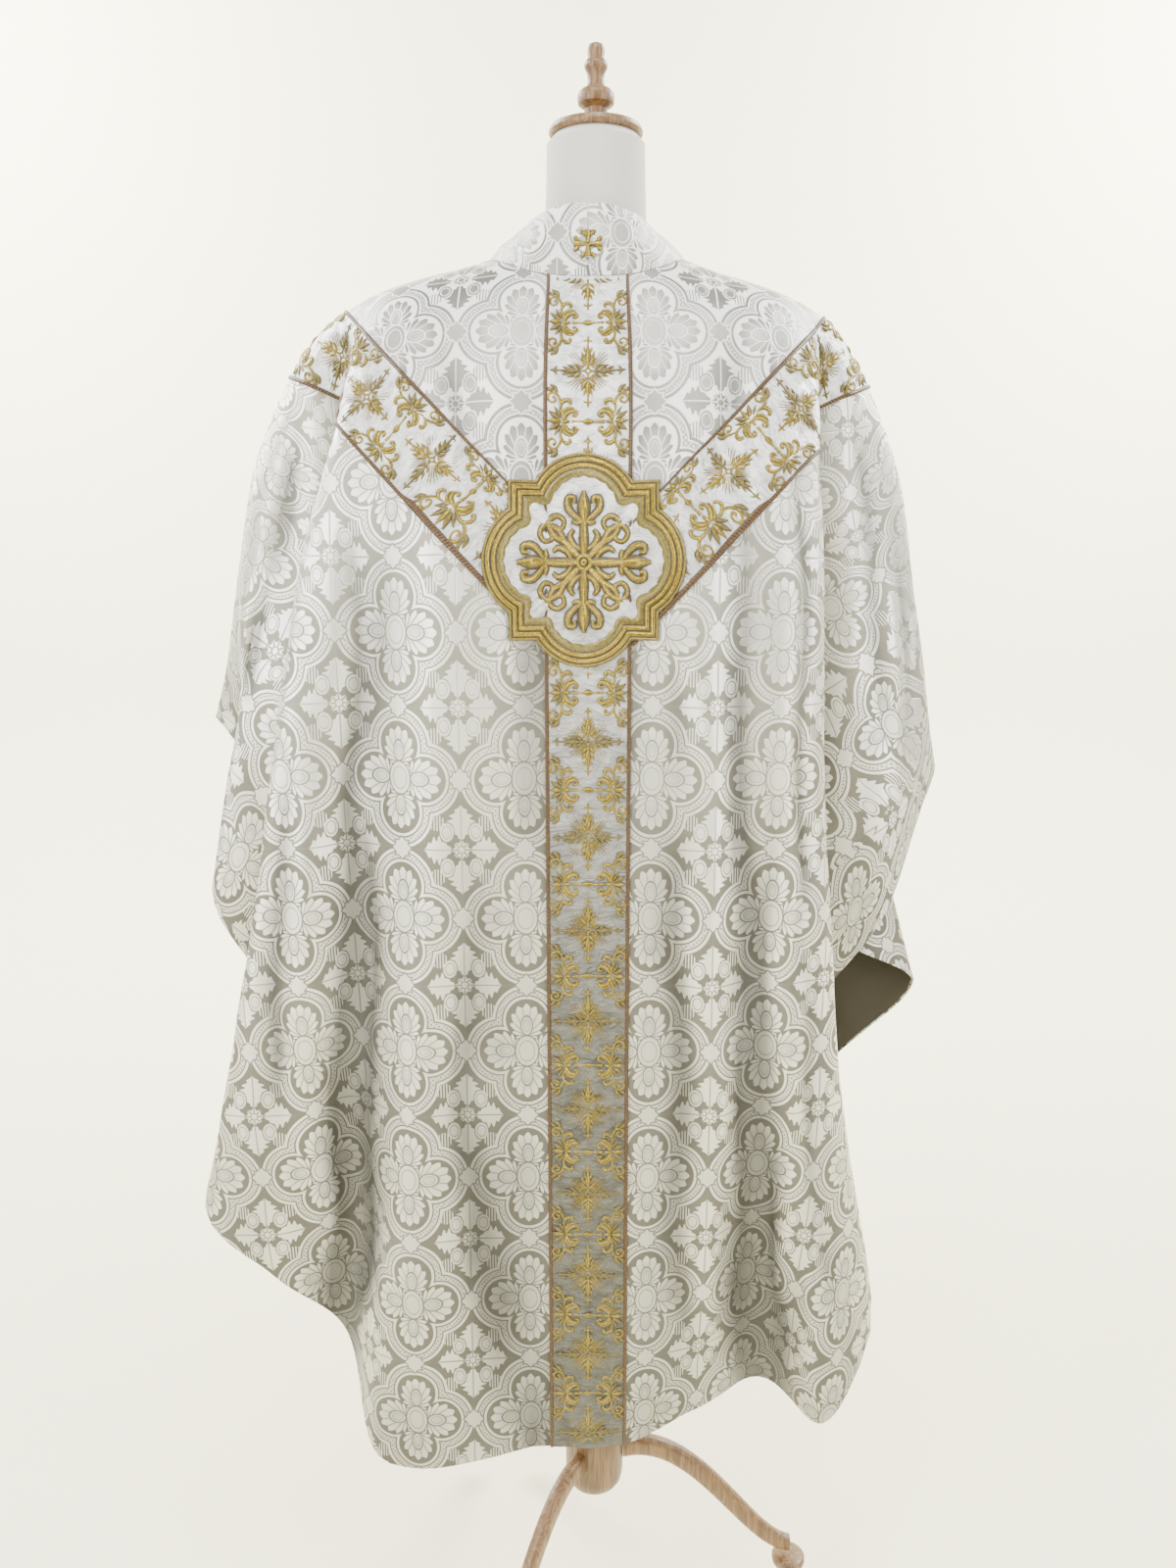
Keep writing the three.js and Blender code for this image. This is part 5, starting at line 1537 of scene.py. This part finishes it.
def capped_rings(rings):
    """Closed body from rings stacked upwards, anticlockwise from above, with a point at each end."""
    rows, sides = rings.shape[:2]
    count = rows * sides
    points = np.concatenate([rings.reshape(-1, 3), [rings[0].mean(axis=0), rings[-1].mean(axis=0)]])
    walls = grid_faces(rows, sides, closed=True)[:, ::-1]
    ring = np.arange(sides)
    ahead = np.roll(ring, -1)
    bottom = np.stack([np.full(sides, count), ahead, ring], axis=-1)
    top = np.stack([np.full(sides, count + 1), ring + count - sides, ahead + count - sides], axis=-1)
    return points, [walls, np.concatenate([bottom, top])]


def signed_power(value, exponent):
    return np.sign(value) * np.abs(value) ** exponent


def form_bust():
    """Bust: rounded level sections, smoothed from one row of the table to the next."""
    rows = np.array(BUST_SECTIONS, float)
    steps = [np.linspace(a, b, 5)[:-1] for a, b in zip(rows[:-1, 0], rows[1:, 0])]
    heights = np.concatenate(steps + [rows[-1:, 0]])
    half_x, half_y = (np.interp(heights, rows[:, 0], rows[:, k])[:, None] for k in (1, 2))
    angle = full_turn(96)
    square = np.interp(heights, (1560, 1600), (2.3, 2.0))[:, None]
    backset = np.interp(heights, (1596, 1692), (-6, 0))[:, None]
    x = half_x * signed_power(np.cos(angle)[None, :], 2 / square)
    y = backset + half_y * signed_power(np.sin(angle)[None, :], 2 / square)
    rings = np.stack([x, y, np.broadcast_to(heights[:, None], x.shape)], axis=-1) * MM
    points, faces = capped_rings(rings)
    return make_piece("form_bust_cover", points, faces, finish_of(cover_material), ["form_bust"],
                      axis=FORM_AXIS, crisp=35)


def revolved(profile, sides, shift=0.0):
    """Rings of a profile of radius and height swept round an axis; the first and last rows of
    the profile lie on it."""
    profile = np.array(profile, float)[1:-1]
    angle = full_turn(sides)
    x, y = (profile[:, 0][:, None] * wave(angle)[None, :] for wave in (np.cos, np.sin))
    return np.stack([x + shift, y, np.broadcast_to(profile[:, 1][:, None], x.shape)], axis=-1)


def wooden_piece(name, rings, node, crisp=32, turn=0.0, ends=None):
    """Oak piece from rings in millimetres round the form's axis, turned about it."""
    c, s = math.cos(turn), math.sin(turn)
    points, faces = capped_rings(rings @ np.array([[c, -s, 0], [s, c, 0], [0, 0, 1]]).T * MM)
    if ends:
        points[-2:, 2] = np.multiply(ends, MM)
    return make_piece(name, points, faces, finish_of(oak_material), [node],
                      axis=FORM_AXIS, crisp=crisp)


def turned_piece(name, profile, node, sides=48):
    return wooden_piece(name, revolved(profile, sides), node, ends=(profile[0][1], profile[-1][1]))


def stand_leg(name, turn, node):
    """Tripod leg: a rounded section carried down a cubic curve, narrowing to the foot."""
    start, one, two, end = (np.array(p, float) for p in (
        (HUB_RADIUS + 0.3, 0, 172), (130, 0, 196), (196, 0, 34), (LEG_REACH, 0, FOOT_HEIGHT + 16)))
    t = np.linspace(0, 1, 40)[:, None]
    line = start * (1 - t) ** 3 + 3 * one * t * (1 - t) ** 2 + 3 * two * t * t * (1 - t) + end * t ** 3
    ahead = unit(3 * ((one - start) * (1 - t) ** 2 + 2 * (two - one) * t * (1 - t) + (end - two) * t * t))
    ahead[0] = (1, 0, 0)
    up = np.stack([-ahead[:, 2], np.zeros(len(t)), ahead[:, 0]], axis=-1)
    angle = full_turn(32)
    deep = 13.6 * (1 - 0.28 * t) * signed_power(np.sin(angle), 0.72)[None, :]
    wide = 9.2 * (1 - 0.15 * t) * signed_power(np.cos(angle), 0.72)[None, :]
    rings = line[:, None, :] + up[:, None, :] * deep[..., None] + np.array([0, 1, 0]) * wide[..., None]
    return wooden_piece(name, rings, node, crisp=40, turn=turn)


def stand_foot(name, turn, node):
    """Turned foot under a leg's end."""
    return wooden_piece(name, revolved(FOOT_PROFILE, 48, LEG_REACH), node, turn=turn)


# ---------------------------------------------------------------- operators

class CHASUBLE_OT_panels(bpy.types.Operator):
    """Back and front panels of damask"""
    bl_idname = "chasuble.panels"
    bl_label = "Damask panels"

    def execute(self, context):
        back = cloth_panel("back_cloth", 0, RIDGE_SPAN, "back_panel")
        front = cloth_panel("front_cloth", RIDGE_SPAN, SPANS, "front_panel")
        return {"FINISHED"}


class CHASUBLE_OT_linings(bpy.types.Operator):
    """Olive linings of both panels"""
    bl_idname = "chasuble.linings"
    bl_label = "Linings"

    def execute(self, context):
        back = cloth_lining("back_lining_cloth", 0, RIDGE_SPAN, "back_lining")
        front = cloth_lining("front_lining_cloth", RIDGE_SPAN, SPANS, "front_lining")
        return {"FINISHED"}


BACK_CROSS_HEIGHT = 1.1035           # of a cross below the medallion
TOP_CROSS = 0.003                    # from the neck seam to the first cross
TOP_END, LOW_START = 1.34, 1.20      # heights between which the medallion hides the strip
# Where a cross lies on each arm, from the centre strip.
ARM_CROSS = {("back", 1): 0.142, ("back", -1): 0.160, ("front", 1): 0.06, ("front", -1): 0.06}


class CHASUBLE_OT_orphrey(bpy.types.Operator):
    """Satin strips of the orphrey, their cords and their embroidery"""
    bl_idname = "chasuble.orphrey"
    bl_label = "Orphrey"

    def execute(self, context):
        repeat = settings().motif_repeat
        for face, centre in (("back", BACK_SPAN), ("front", FRONT_SPAN)):
            column = Column(centre)
            cloth_piece = strip_piece(f"{face}_strip", column, f"orphrey_column_{face}")
            if face == "back":
                upper = TOP_CROSS + repeat * np.arange(3)
                lower = column.level(BACK_CROSS_HEIGHT) + repeat * np.arange(-1, 9)
                above, below = (0, column.level(TOP_END)), (column.level(LOW_START), 9)
                pieces = [embroider("back_strip_embroidery_top", column, upper, above, under_medallion),
                          embroider("back_strip_embroidery", column, lower, below, under_medallion)]
            else:
                pieces = [embroider("front_strip_embroidery", column, repeat * (np.arange(13) + 0.5))]
            pieces.append(edge_cord(f"{face}_strip_cord", column))
            for side, word in ((1, "right"), (-1, "left")):
                arm = Arm(face, side)
                name = f"{face}_arm_{word}"
                cloth_piece = strip_piece(name, arm, f"orphrey_arm_{face}_{word}")
                crosses = ARM_CROSS[face, side] + repeat * np.arange(-1, 5)
                pieces = [embroider(f"{name}_embroidery", arm, crosses, hidden=under_medallion),
                          edge_cord(f"{name}_cord", arm)]
        return {"FINISHED"}


class CHASUBLE_OT_medallion(bpy.types.Operator):
    """Padded quatrefoil medallion with a foliate cross"""
    bl_idname = "chasuble.medallion"
    bl_label = "Medallion"

    def execute(self, context):
        framing = medallion_frame()
        ground = medallion_ground()
        cross = medallion_cross()
        return {"FINISHED"}


class CHASUBLE_OT_collar(bpy.types.Operator):
    """Collar band with its small cross"""
    bl_idname = "chasuble.collar"
    bl_label = "Collar"

    def execute(self, context):
        right = collar_half("collar_band_right", BACK_SPAN, FRONT_SPAN, "collar_right")
        left = collar_half("collar_band_left", FRONT_SPAN, BACK_SPAN + SPANS, "collar_left")
        cross = collar_cross()
        return {"FINISHED"}


class CHASUBLE_OT_form(bpy.types.Operator):
    """Limbless dress form with its wooden cap, finial and tripod stand"""
    bl_idname = "chasuble.form"
    bl_label = "Dress form and stand"

    def execute(self, context):
        form_bust()
        turned_piece("neck_cap_wood", CAP_PROFILE, "form_neck_cap", 96)
        turned_piece("finial_wood", FINIAL_PROFILE, "form_finial")
        turned_piece("pole_wood", POLE_PROFILE, "stand_pole")
        turned_piece("hub_wood", HUB_PROFILE, "stand_hub", 64)
        for k in range(3):
            turn = k * 2 * math.pi / 3
            stand_leg(f"leg_wood_{k + 1}", turn, f"stand_leg_{k + 1}")
            stand_foot(f"foot_wood_{k + 1}", turn, f"stand_foot_{k + 1}")
        return {"FINISHED"}


FOCAL_LENGTH, PICTURE_HEIGHT = 1202, 1600      # pixels
LOOKS_DOWN = 11.4                              # degrees
# Soft lights: place, aim, size and watts.
LIGHTS = {
    "left strip light": ((-1.75, -1.75, 1.75), (0, 0, 1.15), (0.40, 2.2), 104),
    "right strip light": ((1.95, -1.6, 1.6), (0, 0, 1.05), (0.40, 2.2), 66),
    "top light": ((0.1, -1.1, 3.3), (0, 0, 1.2), (1.3, 0.8), 72),
    "left backdrop light": ((-2.6, 1.6, 3.3), (-0.9, 3.2, 1.1), (1.6, 1.6), 480),
    "right backdrop light": ((2.6, 1.6, 3.3), (0.9, 3.2, 1.1), (1.6, 1.6), 480),
}


class CHASUBLE_OT_studio(bpy.types.Operator):
    """Pale sweep, soft lights and the camera"""
    bl_idname = "chasuble.studio"
    bl_label = "Studio"

    def execute(self, context):
        scene = context.scene
        sweep = smooth_path(
            [(-4.5, 0), (1.6, 0), (2.2, 0.05), (2.7, 0.22), (3.05, 0.55), (3.2, 1.1), (3.22, 5.0)], 0.12)
        x = np.linspace(-6, 6, 25)
        points = np.stack(np.broadcast_arrays(x[None, :], sweep[:, :1], sweep[:, 1:]), axis=-1)
        floor = make_piece("studio_floor", points.reshape(-1, 3), grid_faces(len(sweep), 25)[:, ::-1],
                           finish_of(backdrop_material), axis=np.zeros(3), crisp=0)
        for name, (place, aim, size, power) in LIGHTS.items():
            light = bpy.data.lights.new(name, "AREA")
            light.shape, light.energy = "RECTANGLE", power
            light.size, light.size_y = size
            lamp = bpy.data.objects.new(name, light)
            scene.collection.objects.link(lamp)
            aim_at(lamp, place, aim)
        world = bpy.data.worlds.new("studio")
        world.use_nodes = True
        sky = world.node_tree.nodes["Background"]
        sky.inputs["Color"].default_value = (1.0, 0.985, 0.95, 1)
        sky.inputs["Strength"].default_value = 0.12
        scene.world = world
        camera = bpy.data.cameras.new("camera")
        camera.sensor_width, camera.lens = 36, 36 * FOCAL_LENGTH / PICTURE_HEIGHT
        eye = bpy.data.objects.new("camera", camera)
        scene.collection.objects.link(eye)
        eye.location = (GARMENT_AXIS[0], -1.303, 1.293)
        eye.rotation_euler = (math.radians(90 - LOOKS_DOWN), 0, 0)
        scene.camera = eye
        return {"FINISHED"}


def aim_at(lamp, place, aim):
    """Puts a lamp at a place and turns its -Z towards the aim."""
    lamp.location = place
    dx, dy, dz = np.subtract(aim, place)
    lamp.rotation_euler = (math.atan2(math.hypot(dx, dy), -dz), 0, math.atan2(dy, dx) - math.pi / 2)


class CHASUBLE_PT_panel(bpy.types.Panel):
    """Sizes and colours, and a button for each group of pieces"""
    bl_idname = "CHASUBLE_PT_panel"
    bl_label = "Chasuble"
    bl_space_type = "VIEW_3D"
    bl_region_type = "UI"
    bl_category = "Chasuble"

    def draw(self, context):
        for name in ChasubleSettings.__annotations__:
            self.layout.prop(context.scene.chasuble, name)
        for step in STEPS:
            self.layout.operator(step.bl_idname)


STEPS = (CHASUBLE_OT_form, CHASUBLE_OT_panels, CHASUBLE_OT_linings, CHASUBLE_OT_orphrey,
         CHASUBLE_OT_medallion, CHASUBLE_OT_collar, CHASUBLE_OT_studio)
CLASSES = (ChasubleSettings, *STEPS, CHASUBLE_PT_panel)


def register():
    for cls in CLASSES:
        bpy.utils.register_class(cls)
    bpy.types.Scene.chasuble = bpy.props.PointerProperty(type=ChasubleSettings)


def unregister():
    del bpy.types.Scene.chasuble
    for cls in reversed(CLASSES):
        bpy.utils.unregister_class(cls)


def corners(box):
    return [[float(v) for v in corner] for corner in box]


def main():
    register()
    for step in STEPS:
        group, name = step.bl_idname.split(".")
        getattr(getattr(bpy.ops, group), name)()


if __name__ == "__main__":
    main()
